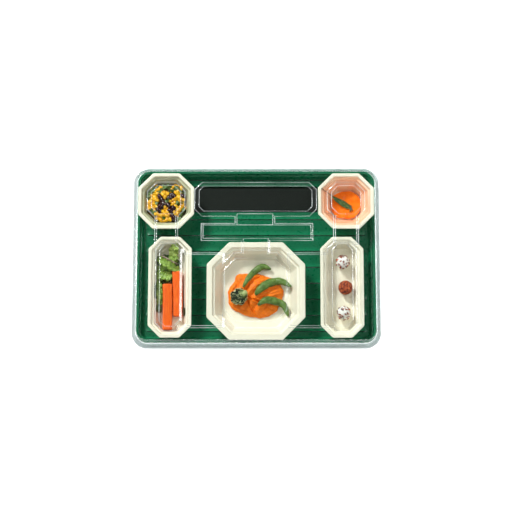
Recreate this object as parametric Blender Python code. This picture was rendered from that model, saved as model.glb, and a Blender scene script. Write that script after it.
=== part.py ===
"""An airline meal tray: a dark green tray with five ivory dishes of food under one clear lid.

Units are metres. +X runs along the tray's long side, -Y is the side nearest the eater, +Z is up,
and the origin is under the middle of the lid's base flange, on the surface the tray stands on.
"""
import math
import random

import bmesh
import bpy
import numpy as np
from mathutils import Matrix, Vector

# Driving sizes
GAP = 0.0003                  # between a piece and whatever it touches

TRAY_HALF = (0.172, 0.126)    # rim to rim, halved
TRAY_CORNER = 0.017
TRAY_RIM_Z = 0.020
TRAY_FLOOR_Z = 0.0055
RIDGE_PITCH = 0.0235          # non-slip ridges across the floor
RIDGE_HEIGHT = 0.001
RIDGE_WIDTH = 0.003
FIRST_RIDGE_Y = -0.107
RIDGE_COUNT = 8

WELL_CENTRE = (-0.001, 0.0873)
WELL_HALF = (0.0916, 0.0195)
WELL_FLOOR_Z = 0.0016
LINER_THICKNESS = 0.0008

DISH_Z = TRAY_FLOOR_Z + RIDGE_HEIGHT + GAP
DISH_FLOOR = 0.002
DISH_EDGE = 0.0022            # the turned-down edge of a dish's rim

LID_HALF = (0.179, 0.1325)
LID_CORNER = 0.022
LID_BASE_Z = 0.009
LID_WALL = 0.0009
LID_DECK_Z = 0.0434
LID_RIDGE_Z = 0.0458
LID_TOP_Z = 0.0480


class Dish:
    """One ivory dish: where its rim's middle is, half its rim, the cut corners and the section's widths."""

    def __init__(self, name, centre, half, cut, height, lip, base_inset):
        self.name, self.centre, self.half, self.cut = name, centre, half, cut
        self.height, self.lip, self.base_inset = height, lip, base_inset
        self.ledge = lip + 0.0038
        self.floor_inset = base_inset + 0.003

    def inner_inset(self, z):
        """How far the inner wall stands in from the rim's edge, at height z above the dish's foot."""
        low, high = DISH_FLOOR + 0.0014, self.height - 0.005
        share = min(max((z - low) / (high - low), 0.0), 1.0)
        return (self.base_inset + 0.0016) * (1 - share) + self.ledge * share

    def outline(self, inset, z, rounding=0.0012):
        """The eight-sided outline drawn in by an inset, in the tray's frame at height z above the foot."""
        corners = octagon(self.half[0] - inset, self.half[1] - inset, self.cut - inset * (2 - math.sqrt(2)))
        return rounded(corners, rounding, 1, self.centre, DISH_Z + z)


# Outlines and solids

def octagon(half_x, half_y, cut):
    """A rectangle with its corners cut off, counter-clockwise from the lower right."""
    return [(half_x - cut, -half_y), (half_x, cut - half_y), (half_x, half_y - cut), (half_x - cut, half_y),
            (cut - half_x, half_y), (-half_x, half_y - cut), (-half_x, cut - half_y), (cut - half_x, -half_y)]


def rectangle(half_x, half_y):
    """Four corners, counter-clockwise from the lower right."""
    return [(half_x, -half_y), (half_x, half_y), (-half_x, half_y), (-half_x, -half_y)]


def rounded(corners, radius, steps, centre, z):
    """Each corner turned into an arc of that many steps, as points at height z."""
    points = []
    count = len(corners)
    for i, corner in enumerate(corners):
        here = Vector(corner)
        before = (Vector(corners[i - 1]) - here).normalized()
        after = (Vector(corners[(i + 1) % count]) - here).normalized()
        half_angle = before.angle(after) / 2
        middle = here + (before + after).normalized() * (radius / math.sin(half_angle))
        start = here + before * (radius / math.tan(half_angle)) - middle
        turn = math.pi - 2 * half_angle
        for k in range(steps + 1):
            p = middle + Matrix.Rotation(turn * k / steps, 2) @ start
            points.append((p.x + centre[0], p.y + centre[1], z))
    return points


def rounded_box(half, inset, radius, z, centre=(0.0, 0.0), steps=4):
    """A rectangle with round corners, drawn in by an inset."""
    corners = rectangle(half[0] - inset, half[1] - inset)
    return rounded(corners, max(radius - inset, 0.0008), steps, centre, z)


def sharp(corners, centre, z):
    """The corners moved to their centre, as points at height z."""
    return [(x + centre[0], y + centre[1], z) for x, y in corners]


def solid_from(mesh_builder, name, material, collection):
    """A closed object from a bmesh that the builder fills, with its faces turned outward."""
    bm = bmesh.new()
    mesh_builder(bm)
    bmesh.ops.recalc_face_normals(bm, faces=bm.faces)
    mesh = bpy.data.meshes.new(name)
    bm.to_mesh(mesh)
    bm.free()
    obj = bpy.data.objects.new(name, mesh)
    collection.objects.link(obj)
    if material is not None:
        mesh.materials.append(material)
    return obj


def loft(name, rings, material, collection):
    """Rings of equal length joined one to the next, the first and the last closed by a face."""
    def fill(bm):
        loops = [[bm.verts.new(p) for p in ring] for ring in rings]
        for lower, upper in zip(loops, loops[1:]):
            for i in range(len(lower)):
                j = (i + 1) % len(lower)
                bm.faces.new((lower[i], lower[j], upper[j], upper[i]))
        bm.faces.new(list(reversed(loops[0])))
        bm.faces.new(loops[-1])
    return solid_from(fill, name, material, collection)


def tube_rings(path, widths, heights, sides, up=Vector((0, 0, 1))):
    """Oval rings across a path, each with its own half width and half height."""
    rings = []
    for i, point in enumerate(path):
        along = (path[min(i + 1, len(path) - 1)] - path[max(i - 1, 0)]).normalized()
        across = along.cross(up).normalized()
        lift = across.cross(along)
        ring = [point + across * (widths[i] * math.cos(a)) + lift * (heights[i] * math.sin(a))
                for a in (2 * math.pi * k / sides for k in range(sides))]
        rings.append([tuple(p) for p in ring])
    return rings


def smooth_path(points, count):
    """Points at even steps along a smooth curve through the given ones."""
    knots = [Vector(p) for p in points]
    knots = [2 * knots[0] - knots[1]] + knots + [2 * knots[-1] - knots[-2]]
    path = []
    for k in range(count):
        t = k * (len(knots) - 3) / (count - 1)
        i = min(int(t), len(knots) - 4)
        t -= i
        a, b, c, d = knots[i:i + 4]
        path.append(0.5 * (2 * b + (c - a) * t + (2 * a - 5 * b + 4 * c - d) * t * t
                           + (3 * b - a - 3 * c + d) * t ** 3))
    return path


def boolean(target, other, operation, solver="EXACT"):
    """Applies one union or difference, with an object or with a collection of objects, which it uses up."""
    modifier = target.modifiers.new("Join", "BOOLEAN")
    modifier.operation = operation
    modifier.solver = solver
    if isinstance(other, bpy.types.Collection):
        modifier.operand_type = "COLLECTION"
        modifier.collection = other
    else:
        modifier.object = other
    bpy.context.view_layer.update()
    evaluated = target.evaluated_get(bpy.context.evaluated_depsgraph_get())
    mesh = bpy.data.meshes.new_from_object(evaluated)
    target.modifiers.clear()
    target.data = mesh
    for obj in list(other.objects) if isinstance(other, bpy.types.Collection) else [other]:
        bpy.data.objects.remove(obj)
    tidy_mesh(target)


def tidy_mesh(obj, merge=0.000003):
    """Welds the seams of a boolean, drops loose scraps and sealed hollows, and keeps the largest body."""
    bm = bmesh.new()
    bm.from_mesh(obj.data)
    bmesh.ops.triangulate(bm, faces=bm.faces)
    bmesh.ops.remove_doubles(bm, verts=bm.verts, dist=merge)
    bmesh.ops.dissolve_degenerate(bm, edges=bm.edges, dist=merge)
    groups, seen = [], set()
    for face in bm.faces:
        if face in seen:
            continue
        group, waiting = [], [face]
        seen.add(face)
        while waiting:
            current = waiting.pop()
            group.append(current)
            for edge in current.edges:
                for other in edge.link_faces:
                    if other not in seen:
                        seen.add(other)
                        waiting.append(other)
        groups.append(group)
    groups.sort(key=lambda g: -sum(f.calc_area() for f in g))
    for group in groups[1:]:
        bmesh.ops.delete(bm, geom=group, context="FACES")
    bmesh.ops.delete(bm, geom=[v for v in bm.verts if not v.link_faces], context="VERTS")
    bm.to_mesh(obj.data)
    bm.free()


def plastic(name, colour, roughness, alpha=1.0, transmission=0.0):
    """A plain material of one colour."""
    material = bpy.data.materials.new(name)
    material.use_nodes = True
    shader = material.node_tree.nodes["Principled BSDF"]
    shader.inputs["Base Color"].default_value = (*colour, 1.0)
    shader.inputs["Roughness"].default_value = roughness
    shader.inputs["Metallic"].default_value = 0.0
    shader.inputs["Alpha"].default_value = alpha
    shader.inputs["Transmission Weight"].default_value = transmission
    return material


# The tray

def make_tray(collection, cutters):
    """A moulded tray: foot ring, sloping wall with a stacking ledge, flat rim, ridged floor and a well."""
    green = plastic("tray_green", (0.004, 0.075, 0.028), 0.35)
    foot_drop = 0.002
    section = [(0.018, foot_drop), (0.0165, 0.0), (0.0085, 0.0), (0.0047, 0.0140), (0.0028, 0.0146),
               (0.0023, 0.0175), (0.0006, 0.0175), (0.0, 0.0181), (0.0, 0.0194), (0.0006, TRAY_RIM_Z),
               (0.0032, TRAY_RIM_Z), (0.0038, 0.0192), (0.0046, 0.0152), (0.0064, 0.0148), (0.0090, 0.0068),
               (0.0104, TRAY_FLOOR_Z)]
    rings = [rounded_box(TRAY_HALF, inset, TRAY_CORNER, z) for inset, z in section]
    tray = loft("tray", rings, green, collection)

    for k in range(RIDGE_COUNT):
        y = FIRST_RIDGE_Y + k * RIDGE_PITCH
        if abs(y - WELL_CENTRE[1]) < WELL_HALF[1] + RIDGE_WIDTH:
            continue
        half_x = TRAY_HALF[0] - 0.0125
        low, high = TRAY_FLOOR_Z - 0.001, TRAY_FLOOR_Z + RIDGE_HEIGHT
        ridge = loft("ridge", [sharp(rectangle(half_x - inset, RIDGE_WIDTH / 2 - inset), (0.0, y), z)
                               for inset, z in ((0.0, low), (0.0, high - 0.0006), (0.0006, high))],
                     None, cutters)
        boolean(tray, ridge, "UNION")

    under = loft("well_under", [rounded_box((WELL_HALF[0] + 0.003, WELL_HALF[1] + 0.003), inset, 0.006, z,
                                            WELL_CENTRE, 3)
                                for inset, z in ((0.0005, 0.0), (0.0, 0.0005), (0.0, 0.004))], None, cutters)
    boolean(tray, under, "UNION")
    well = loft("well_cut", [rounded_box(WELL_HALF, inset, 0.004, z, WELL_CENTRE, 3)
                             for inset, z in ((0.0008, WELL_FLOOR_Z), (0.0, TRAY_FLOOR_Z + 0.004))],
                None, cutters)
    boolean(tray, well, "DIFFERENCE")


def make_liner(collection):
    """The near-black sheet that lies in the well between the two bowls."""
    black = plastic("liner_black", (0.006, 0.008, 0.006), 0.6)
    low = WELL_FLOOR_Z + GAP
    half = (WELL_HALF[0] - 0.0011, WELL_HALF[1] - 0.0011)
    rings = [rounded_box(half, 0.0, 0.0032, low + h, WELL_CENTRE, 3) for h in (0.0, LINER_THICKNESS)]
    loft("well_liner", rings, black, collection)


# The dishes

def make_dish(dish, ivory, collection):
    """A moulded dish with cut corners: foot, sloping wall, flat rim, a ledge inside and a flat floor."""
    top = dish.height
    section = [(dish.base_inset, 0.0), (dish.lip - 0.0008, top - DISH_EDGE), (0.0003, top - DISH_EDGE),
               (0.0, top - DISH_EDGE + 0.0004), (0.0, top - 0.0005), (0.0006, top),
               (dish.lip - 0.0006, top - 0.0002), (dish.lip, top - 0.0009), (dish.lip + 0.0012, top - 0.0044),
               (dish.ledge, top - 0.005), (dish.base_inset + 0.0016, DISH_FLOOR + 0.0014),
               (dish.floor_inset, DISH_FLOOR)]
    loft(dish.name, [dish.outline(inset, z) for inset, z in section], ivory, collection)


# The lid

LID_PANELS = [((-0.0010, -0.0535), (0.053, 0.054), 0.0215, 0.0085),      # over the plate
              ((-0.1230, -0.0465), (0.0205, 0.0655), 0.0120, 0.0060),    # over the left dish
              ((0.1225, -0.0465), (0.0205, 0.0655), 0.0120, 0.0060),     # over the right dish
              ((-0.1295, 0.0775), (0.0270, 0.0270), 0.0135, 0.0060),     # over the left bowl
              ((0.1290, 0.0775), (0.0270, 0.0270), 0.0135, 0.0060),      # over the right bowl
              ((-0.0010, 0.0790), (0.0875, 0.0250), 0.0105, 0.0065)]     # over the well
LID_LINKS = [((-0.1290, 0.0350), (0.0165, 0.0220)),                      # left bowl to left dish
             ((0.1285, 0.0350), (0.0180, 0.0220)),                       # right bowl to right dish
             ((-0.0020, 0.0490), (0.0285, 0.0110)),                      # well to the strip before it
             ((-0.0010, 0.0075), (0.0205, 0.0165)),                      # that strip to the plate
             ((0.0010, 0.0310), (0.0800, 0.0125)),                       # the strip itself
             ((-0.0800, -0.0535), (0.0350, 0.0540)),                     # left dish to the plate
             ((0.0800, -0.0535), (0.0350, 0.0540))]                      # the plate to the right dish
LID_LINK_SLOPE = 0.0028


def lid_form(name, shell, cutters):
    """The lid's outside when shell is 0, or the space under it when shell is the wall's thickness."""
    def ring(half, corner, z):
        return rounded_box((half[0] - shell, half[1] - shell), 0.0, corner - shell, z)

    drop = 0.001 if shell else 0.0
    rest_z = TRAY_RIM_Z + GAP + (LID_WALL if not shell else 0.0)
    outside = [ring((0.1749, 0.1284), 0.019, LID_BASE_Z - drop),
               ring((0.1749, 0.1284), 0.019, LID_BASE_Z + 0.001),
               ring((0.1734, 0.1273), 0.018, rest_z), ring((0.1718, 0.1259), 0.0172, rest_z + 0.0002),
               ring((0.1716, 0.1252), 0.017, LID_DECK_Z - shell - 0.0009),
               ring((0.1707, 0.1243), 0.0165, LID_DECK_Z - shell)]
    if not shell:
        outside = [rounded_box(LID_HALF, 0.0, LID_CORNER, LID_BASE_Z),
                   rounded_box(LID_HALF, 0.0, LID_CORNER, LID_BASE_Z + 0.001)] + outside[1:]
    form = loft(name, outside, None, cutters)

    low = LID_DECK_Z - shell - 0.002
    raised = bpy.data.collections.new("raised")
    cutters.children.link(raised)
    for centre, half, cut, slope in LID_PANELS:
        panel = [sharp(octagon(half[0] - shell - inset, half[1] - shell - inset,
                               cut - inset * (2 - math.sqrt(2))), centre, z)
                 for inset, z in ((-0.0008, low), (slope, LID_TOP_Z - shell))]
        loft("panel", panel, None, raised)
    for centre, half in LID_LINKS:
        link = [sharp(rectangle(half[0] - shell - inset, half[1] - shell - inset), centre, z)
                for inset, z in ((-0.0008, low), (LID_LINK_SLOPE, LID_RIDGE_Z - shell))]
        loft("link", link, None, raised)
    boolean(form, raised, "UNION")
    bpy.data.collections.remove(raised)
    return form


def make_lid(collection, cutters):
    """A clear lid: base flange, a step that sits on the tray's rim, a deck, and raised panels with links."""
    clear = plastic("lid_clear", (0.90, 0.95, 0.94), 0.05, alpha=0.3, transmission=1.0)
    lid = lid_form("lid", 0.0, cutters)
    space = lid_form("lid_space", LID_WALL, cutters)
    boolean(lid, space, "DIFFERENCE")
    cutters.objects.unlink(lid)
    collection.objects.link(lid)
    lid.data.materials.clear()
    lid.data.materials.append(clear)


# The plate's food

MASH_OUTLINE = [(0.0390, -0.0530), (0.0370, -0.0420), (0.0240, -0.0325), (0.0080, -0.0260), (-0.0130, -0.0243),
                (-0.0300, -0.0265), (-0.0318, -0.0375), (-0.0395, -0.0465), (-0.0412, -0.0590),
                (-0.0360, -0.0740), (-0.0180, -0.0830), (0.0020, -0.0880), (0.0230, -0.0840),
                (0.0340, -0.0700)]
MASH_MIDDLE = Vector((-0.001, -0.0555))
MASH_HEIGHT = 0.0125
PLATE_FLOOR_Z = DISH_Z + DISH_FLOOR


def mash_radius(angle):
    """How far the mash reaches from its middle in that direction, round a smooth closed curve."""
    knots = [(math.atan2(y - MASH_MIDDLE.y, x - MASH_MIDDLE.x) % (2 * math.pi),
              math.hypot(x - MASH_MIDDLE.x, y - MASH_MIDDLE.y)) for x, y in MASH_OUTLINE]
    knots.sort()
    angles = np.array([a for a, r in knots])
    radii = np.array([r for a, r in knots])
    spread = np.linspace(-0.22, 0.22, 7)
    weights = np.cos(spread / 0.22 * math.pi / 2) + 0.2
    values = np.interp((angle + spread) % (2 * math.pi), angles, radii, period=2 * math.pi)
    return float((values * weights).sum() / weights.sum())


def mash_height(x, y):
    """The mash's surface over the plate's floor: a low dome with curved folds swept by a spoon."""
    dx, dy = x - MASH_MIDDLE.x, y - MASH_MIDDLE.y
    share = math.hypot(dx, dy) / mash_radius(math.atan2(dy, dx))
    if share >= 1:
        return 0.0
    dome = (1 - share ** 2.8) ** 0.6
    sweep = math.hypot(x - 0.050, y + 0.100) / 0.0125
    return MASH_HEIGHT * dome * (0.88 + 0.12 * math.sin(2 * math.pi * sweep + 0.6))


PODS = [  # a route across the plate, with the least height of the pod's middle over the floor
    [(-0.0193, -0.0458, 0.0), (-0.0094, -0.0296, 0.0), (0.0016, -0.0184, 0.0), (0.0104, -0.0142, 0.0),
     (0.0214, -0.0180, 0.0)],
    [(-0.0017, -0.0570, 0.0), (0.0059, -0.0486, 0.0), (0.0180, -0.0397, 0.0), (0.0345, -0.0363, 0.0075),
     (0.0505, -0.0445, 0.0105)],
    [(0.0021, -0.0716, 0.0), (0.0125, -0.0650, 0.0), (0.0235, -0.0650, 0.0), (0.0388, -0.0705, 0.0065),
     (0.0455, -0.0875, 0.0110)]]
POD_WIDTHS = (0.0047, 0.0058, 0.0054)
POD_STEPS = 16
POD_SIDES = 10


def pod_rings(route, width, extra):
    """A pod's rings: plump in the middle, pointed at both ends, half sunk in what it lies on."""
    flat = smooth_path(route, POD_STEPS)
    levels = np.array([mash_height(p.x, p.y) for p in flat])
    kernel = np.array([1, 2, 3, 2, 1]) / 9
    levels = np.convolve(np.pad(levels, 2, mode="edge"), kernel, mode="valid")
    height = width * 0.92
    path = [Vector((p.x, p.y, PLATE_FLOOR_Z + GAP * 2 + max(height, h + height * 0.45, p.z)))
            for p, h in zip(flat, levels)]
    sizes = []
    for k in range(POD_STEPS):
        t = k / (POD_STEPS - 1)
        sizes.append(max(math.sin(math.pi * min(max(t, 0.02), 0.98)) ** 0.45, 0.16)
                     * (1 + 0.045 * math.sin(2 * math.pi * 6 * t)))
    return tube_rings(path, [s * width + extra for s in sizes], [s * height + extra for s in sizes], POD_SIDES)


BROCCOLI_CENTRE = Vector((-0.0252, -0.0599, PLATE_FLOOR_Z + 0.0125))
BROCCOLI_RADIUS = 0.0106
BROCCOLI_SQUASH = 0.8
BROCCOLI_STALK = [(-0.0135, -0.0525, PLATE_FLOOR_Z + 0.0160), (-0.0175, -0.0552, PLATE_FLOOR_Z + 0.0158),
                  (-0.0235, -0.0592, PLATE_FLOOR_Z + 0.0128)]
STALK_HALVES = (0.0036, 0.0038, 0.0044, 0.0052, 0.0058)
BUD_COUNT = 22
BUD_CLEARANCE = 0.0036        # what the mash gives way by under the buds
GOLDEN_TURN = 2.39996


def broccoli_pieces(extra, cutters, fine):
    """A dome of buds on a short stalk that leans to the upper right."""
    stalk = smooth_path(BROCCOLI_STALK, len(STALK_HALVES))
    half = [h + extra for h in STALK_HALVES]
    pieces = [loft("stalk", tube_rings(stalk, half, [h * 0.9 for h in half], 10), None, cutters)]
    bm = bmesh.new()
    bmesh.ops.create_uvsphere(bm, u_segments=12, v_segments=7, radius=BROCCOLI_RADIUS + extra)
    mesh = bpy.data.meshes.new("head")
    bm.to_mesh(mesh)
    bm.free()
    head = bpy.data.objects.new("head", mesh)
    head.location = BROCCOLI_CENTRE
    head.scale = (1.0, 1.0, BROCCOLI_SQUASH)
    cutters.objects.link(head)
    pieces.append(head)
    if fine:
        rng = random.Random(5)
        for k in range(BUD_COUNT):
            z = 1 - 1.1 * (k + 0.5) / BUD_COUNT
            turn = k * GOLDEN_TURN
            ring = math.sqrt(max(0.0, 1 - z * z))
            spot = Vector((ring * math.cos(turn), ring * math.sin(turn), z * BROCCOLI_SQUASH))
            bud = round_bit("bud", 0.0021 + 0.0005 * rng.random(), 5, 4, cutters)
            bud.location = BROCCOLI_CENTRE + spot * BROCCOLI_RADIUS
            bud.rotation_euler = (rng.random() * 3, rng.random() * 3, 0)
            pieces.append(bud)
    return pieces


def round_bit(name, radius, around, down, cutters, squash=(1.0, 1.0, 1.0)):
    """A small coarse ball, squashed along its own axes."""
    bm = bmesh.new()
    bmesh.ops.create_uvsphere(bm, u_segments=around, v_segments=down, radius=radius)
    bmesh.ops.scale(bm, vec=squash, verts=bm.verts)
    mesh = bpy.data.meshes.new(name)
    bm.to_mesh(mesh)
    bm.free()
    obj = bpy.data.objects.new(name, mesh)
    cutters.objects.link(obj)
    return obj


def fuse(pieces, name, material, collection, cutters):
    """One closed body from many, by a union on a collection."""
    base = pieces[0]
    group = bpy.data.collections.new(name + "_pieces")
    cutters.children.link(group)
    for piece in pieces[1:]:
        cutters.objects.unlink(piece)
        group.objects.link(piece)
    apply_place(base)
    if len(pieces) > 1:
        boolean(base, group, "UNION", "MANIFOLD")
    cutters.objects.unlink(base)
    bpy.data.collections.remove(group)
    collection.objects.link(base)
    base.name = name
    base.data.name = name
    base.data.materials.clear()
    base.data.materials.append(material)
    return base


def apply_place(obj):
    """Moves an object's place, turn and scale into its mesh."""
    bpy.context.view_layer.update()
    obj.data.transform(obj.matrix_world)
    obj.matrix_world = Matrix.Identity(4)


def make_plate_food(collection, cutters):
    """Orange mash with three green pods and a broccoli floret pressed into it."""
    orange = plastic("mash_orange", (0.95, 0.22, 0.01), 0.55)
    green = plastic("pod_green", (0.07, 0.20, 0.03), 0.45)
    dark = plastic("broccoli_green", (0.03, 0.08, 0.035), 0.7)
    around, steps = 36, 7

    def fill(bm):
        loops = []
        for k in range(steps):
            share = 1.0 - (k / steps) ** 1.35
            loop = []
            for i in range(around):
                angle = 2 * math.pi * i / around
                reach = mash_radius(angle) * share * (0.999 if k else 1.0)
                x = MASH_MIDDLE.x + reach * math.cos(angle)
                y = MASH_MIDDLE.y + reach * math.sin(angle)
                lift = max(mash_height(x, y), 0.0012)
                loop.append(bm.verts.new((x, y, PLATE_FLOOR_Z + GAP + lift)))
            loops.append(loop)
        foot = [bm.verts.new((v.co.x, v.co.y, PLATE_FLOOR_Z + GAP)) for v in loops[0]]
        loops.insert(0, foot)
        for lower, upper in zip(loops, loops[1:]):
            for i in range(around):
                j = (i + 1) % around
                bm.faces.new((lower[i], lower[j], upper[j], upper[i]))
        bm.faces.new(list(reversed(foot)))
        top = bm.verts.new((MASH_MIDDLE.x, MASH_MIDDLE.y,
                            PLATE_FLOOR_Z + GAP + mash_height(MASH_MIDDLE.x, MASH_MIDDLE.y)))
        for i in range(around):
            bm.faces.new((loops[-1][i], loops[-1][(i + 1) % around], top))

    mash = solid_from(fill, "mash", orange, collection)
    for number, (route, width) in enumerate(zip(PODS, POD_WIDTHS), 1):
        loft(f"pod_{number}", pod_rings(route, width, 0.0), green, collection)
        boolean(mash, loft("pod_cut", pod_rings(route, width, GAP * 1.5), None, cutters), "DIFFERENCE")
    fuse(broccoli_pieces(0.0, cutters, True), "broccoli", dark, collection, cutters)
    hollow = broccoli_pieces(BUD_CLEARANCE, cutters, False)
    for piece in hollow:
        apply_place(piece)
        boolean(mash, piece, "DIFFERENCE")


# The left dish's food

CARROTS = [((-0.1276, -0.0733), 0.0138, 0.0128, 0.0660, 0.6),
           ((-0.1133, -0.0545), 0.0136, 0.0118, 0.0655, 1.4)]
CARROT_ROUND = 0.0012


def carrot(name, spec, extra, material, collection):
    """A baton cut from a carrot: a long block with worn edges, a little narrower at its near end."""
    (x, y), width, height, length, turn = spec
    rings = []
    for share, inset in ((-0.5, CARROT_ROUND), (-0.5, 0.0), (0.5, 0.0), (0.5, CARROT_ROUND)):
        along = share * length + math.copysign(extra if inset == 0.0 else extra + CARROT_ROUND * 0.7, share)
        along -= math.copysign(CARROT_ROUND * 0.7, share)
        taper = 1.0 + 0.04 * share
        ring = rounded(rectangle(width * taper / 2 - inset + extra, height * taper / 2 - inset + extra),
                       CARROT_ROUND, 2, (0.0, 0.0), 0.0)
        rings.append([(px, along, pz) for px, pz, _ in ring])
    place = (Matrix.Translation((x, y, PLATE_FLOOR_Z + GAP + height * 0.52))
             @ Matrix.Rotation(math.radians(turn), 4, "Z"))
    obj = loft(name, rings, material, collection)
    obj.data.transform(place)
    return obj


LEAVES = [  # stem end, tip, half width, lift at stem and tip, curl
    ((-0.1090, -0.0120), (-0.1080, 0.0130), 0.0080, 0.0045, 0.0100, 0.0030),
    ((-0.1130, -0.0110), (-0.1400, 0.0010), 0.0070, 0.0085, 0.0120, 0.0035),
    ((-0.1190, -0.0150), (-0.1370, -0.0300), 0.0090, 0.0110, 0.0070, 0.0040),
    ((-0.1360, -0.0240), (-0.1375, -0.0600), 0.0065, 0.0050, 0.0080, 0.0030),
    ((-0.1370, -0.0560), (-0.1390, -0.0790), 0.0050, 0.0040, 0.0025, 0.0020)]
LEAF_THICKNESS = 0.0010
LEAF_STEM = [(-0.1405, -0.0060, PLATE_FLOOR_Z + 0.0070), (-0.1300, -0.0090, PLATE_FLOOR_Z + 0.0095),
             (-0.1190, -0.0150, PLATE_FLOOR_Z + 0.0100), (-0.1110, -0.0140, PLATE_FLOOR_Z + 0.0080)]
LEAF_CORE = [(-0.1120, -0.0080, PLATE_FLOOR_Z + 0.0040), (-0.1250, -0.0170, PLATE_FLOOR_Z + 0.0055),
             (-0.1350, -0.0300, PLATE_FLOOR_Z + 0.0050), (-0.1380, -0.0480, PLATE_FLOOR_Z + 0.0045),
             (-0.1385, -0.0700, PLATE_FLOOR_Z + 0.0038)]    # the midribs the leaves hang from


def leaf_grid(spec, seed):
    """A leaf's middle surface as a grid of points: pointed, cupped along its rib and wavy at its edge."""
    (sx, sy), (tx, ty), half, low, high, curl = spec
    start, tip = Vector((sx, sy)), Vector((tx, ty))
    along = (tip - start).normalized()
    across = Vector((-along.y, along.x))
    length = (tip - start).length
    rows = []
    for i in range(7):
        t = i / 6
        width = half * (0.25 + 0.75 * math.sin(math.pi * min(0.08 + 0.86 * t, 1.0)) ** 0.7)
        row = []
        for j in range(-2, 3):
            s = j / 2
            wave = 0.0011 * abs(s) * math.sin(9.5 * t + 2.1 * seed + 1.7 * s)
            spot = start + along * (length * t + 0.0012 * s * s) + across * (width * s)
            z = low + (high - low) * t + curl * s * s + wave + 0.0018 * math.sin(math.pi * t)
            row.append(Vector((spot.x, spot.y, PLATE_FLOOR_Z + z)))
        rows.append(row)
    return rows


def leaf(spec, seed, cutters):
    """A thin wavy solid, both of its faces split into triangles alike."""
    rows = leaf_grid(spec, seed)
    across = len(rows[0])

    def fill(bm):
        sides = []
        for offset in (-LEAF_THICKNESS / 2, LEAF_THICKNESS / 2):
            sides.append([[bm.verts.new(p + Vector((0, 0, offset))) for p in row] for row in rows])
        for side, flip in zip(sides, (True, False)):
            for i in range(len(rows) - 1):
                for j in range(across - 1):
                    a, b = side[i][j], side[i][j + 1]
                    d, c = side[i + 1][j], side[i + 1][j + 1]
                    for tri in ((a, b, c), (a, c, d)):
                        bm.faces.new(tuple(reversed(tri)) if flip else tri)
        rim = ([(0, j) for j in range(across)] + [(i, across - 1) for i in range(1, len(rows))]
               + [(len(rows) - 1, j) for j in range(across - 2, -1, -1)]
               + [(i, 0) for i in range(len(rows) - 2, 0, -1)])
        low, high = sides
        for k, (i, j) in enumerate(rim):
            m, n = rim[(k + 1) % len(rim)]
            bm.faces.new((low[i][j], low[m][n], high[m][n], high[i][j]))

    return solid_from(fill, "leaf", None, cutters)


def make_left_food(dish, collection, cutters):
    """Two carrot batons beside a tumble of salad leaves."""
    orange = plastic("carrot_orange", (0.95, 0.16, 0.012), 0.5)
    green = plastic("leaf_green", (0.17, 0.33, 0.07), 0.5)
    for number, spec in enumerate(CARROTS, 1):
        carrot(f"carrot_{number}", spec, 0.0, orange, collection)
    stem, core = smooth_path(LEAF_STEM, 6), smooth_path(LEAF_CORE, 8)
    pieces = [loft("core", tube_rings(core, [0.0036] * 8, [0.0030] * 8, 6), None, cutters),
              loft("stem", tube_rings(stem, [0.0016] * 6, [0.0015] * 6, 6), None, cutters)]
    pieces += [leaf(spec, seed, cutters) for seed, spec in enumerate(LEAVES)]
    greens = fuse(pieces, "greens", green, collection, cutters)
    inside = [dish.outline(dish.floor_inset + GAP, DISH_FLOOR + GAP)]
    inside += [dish.outline(dish.inner_inset(z) + GAP, z)
               for z in (DISH_FLOOR + 0.0014 + GAP, dish.height - 0.005)]
    boolean(greens, loft("inside", inside, None, cutters), "INTERSECT")
    for spec in CARROTS:
        boolean(greens, carrot("carrot_cut", spec, GAP * 1.5, None, cutters), "DIFFERENCE")


# The bowls' food

SALAD_EDGE_Z = 0.0215         # over the bowl's foot
SALAD_RISE = 0.0060
SALAD_BITS = 52
SALAD_BEANS = {4, 10, 15, 21, 27, 33, 40, 46}
SALAD_GREENS = {30, 37, 42, 45, 48, 50, 51}
FOOD_CLEARANCE = GAP + 0.0002


def make_corn_salad(dish, collection, cutters):
    """A heap of corn kernels, dark beans and bits of green leaf that nearly fills the bowl."""
    yellow = plastic("corn_yellow", (0.90, 0.45, 0.03), 0.4)
    clear = FOOD_CLEARANCE
    rings = [dish.outline(dish.floor_inset + clear, DISH_FLOOR + GAP)]
    for z in (DISH_FLOOR + 0.0016, 0.010, SALAD_EDGE_Z):
        rings.append(dish.outline(dish.inner_inset(z) + clear, z))
    for inset, lift in ((0.0035, 0.0018), (0.011, 0.0045), (0.019, SALAD_RISE)):
        rings.append(dish.outline(dish.inner_inset(SALAD_EDGE_Z) + clear + inset, SALAD_EDGE_Z + lift, 0.004))
    core = loft("core", rings, None, cutters)

    rng = random.Random(11)
    pieces = [core]
    reach = dish.half[0] - dish.inner_inset(SALAD_EDGE_Z) - 0.0040
    for k in range(SALAD_BITS):
        radius = reach * math.sqrt((k + 0.5) / SALAD_BITS)
        turn = k * GOLDEN_TURN
        x, y = radius * math.cos(turn), radius * math.sin(turn)
        z = SALAD_EDGE_Z + SALAD_RISE * (1 - (radius / reach) ** 2) + 0.0010 + 0.0014 * rng.random()
        if k in SALAD_BEANS:
            bit = round_bit("bean", 0.0056, 6, 5, cutters, (1.0, 0.66, 0.62))
        elif k in SALAD_GREENS:
            bit = round_bit("green", 0.0058, 6, 4, cutters, (1.0, 0.75, 0.30))
        else:
            bit = round_bit("kernel", 0.0042, 5, 4, cutters, (1.0, 0.82, 0.70))
        bit.location = (dish.centre[0] + x, dish.centre[1] + y, DISH_Z + z)
        bit.rotation_euler = (0.5 * rng.random(), 0.5 * rng.random(), math.pi * rng.random())
        pieces.append(bit)
    fuse(pieces, "corn_salad", yellow, collection, cutters)


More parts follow.
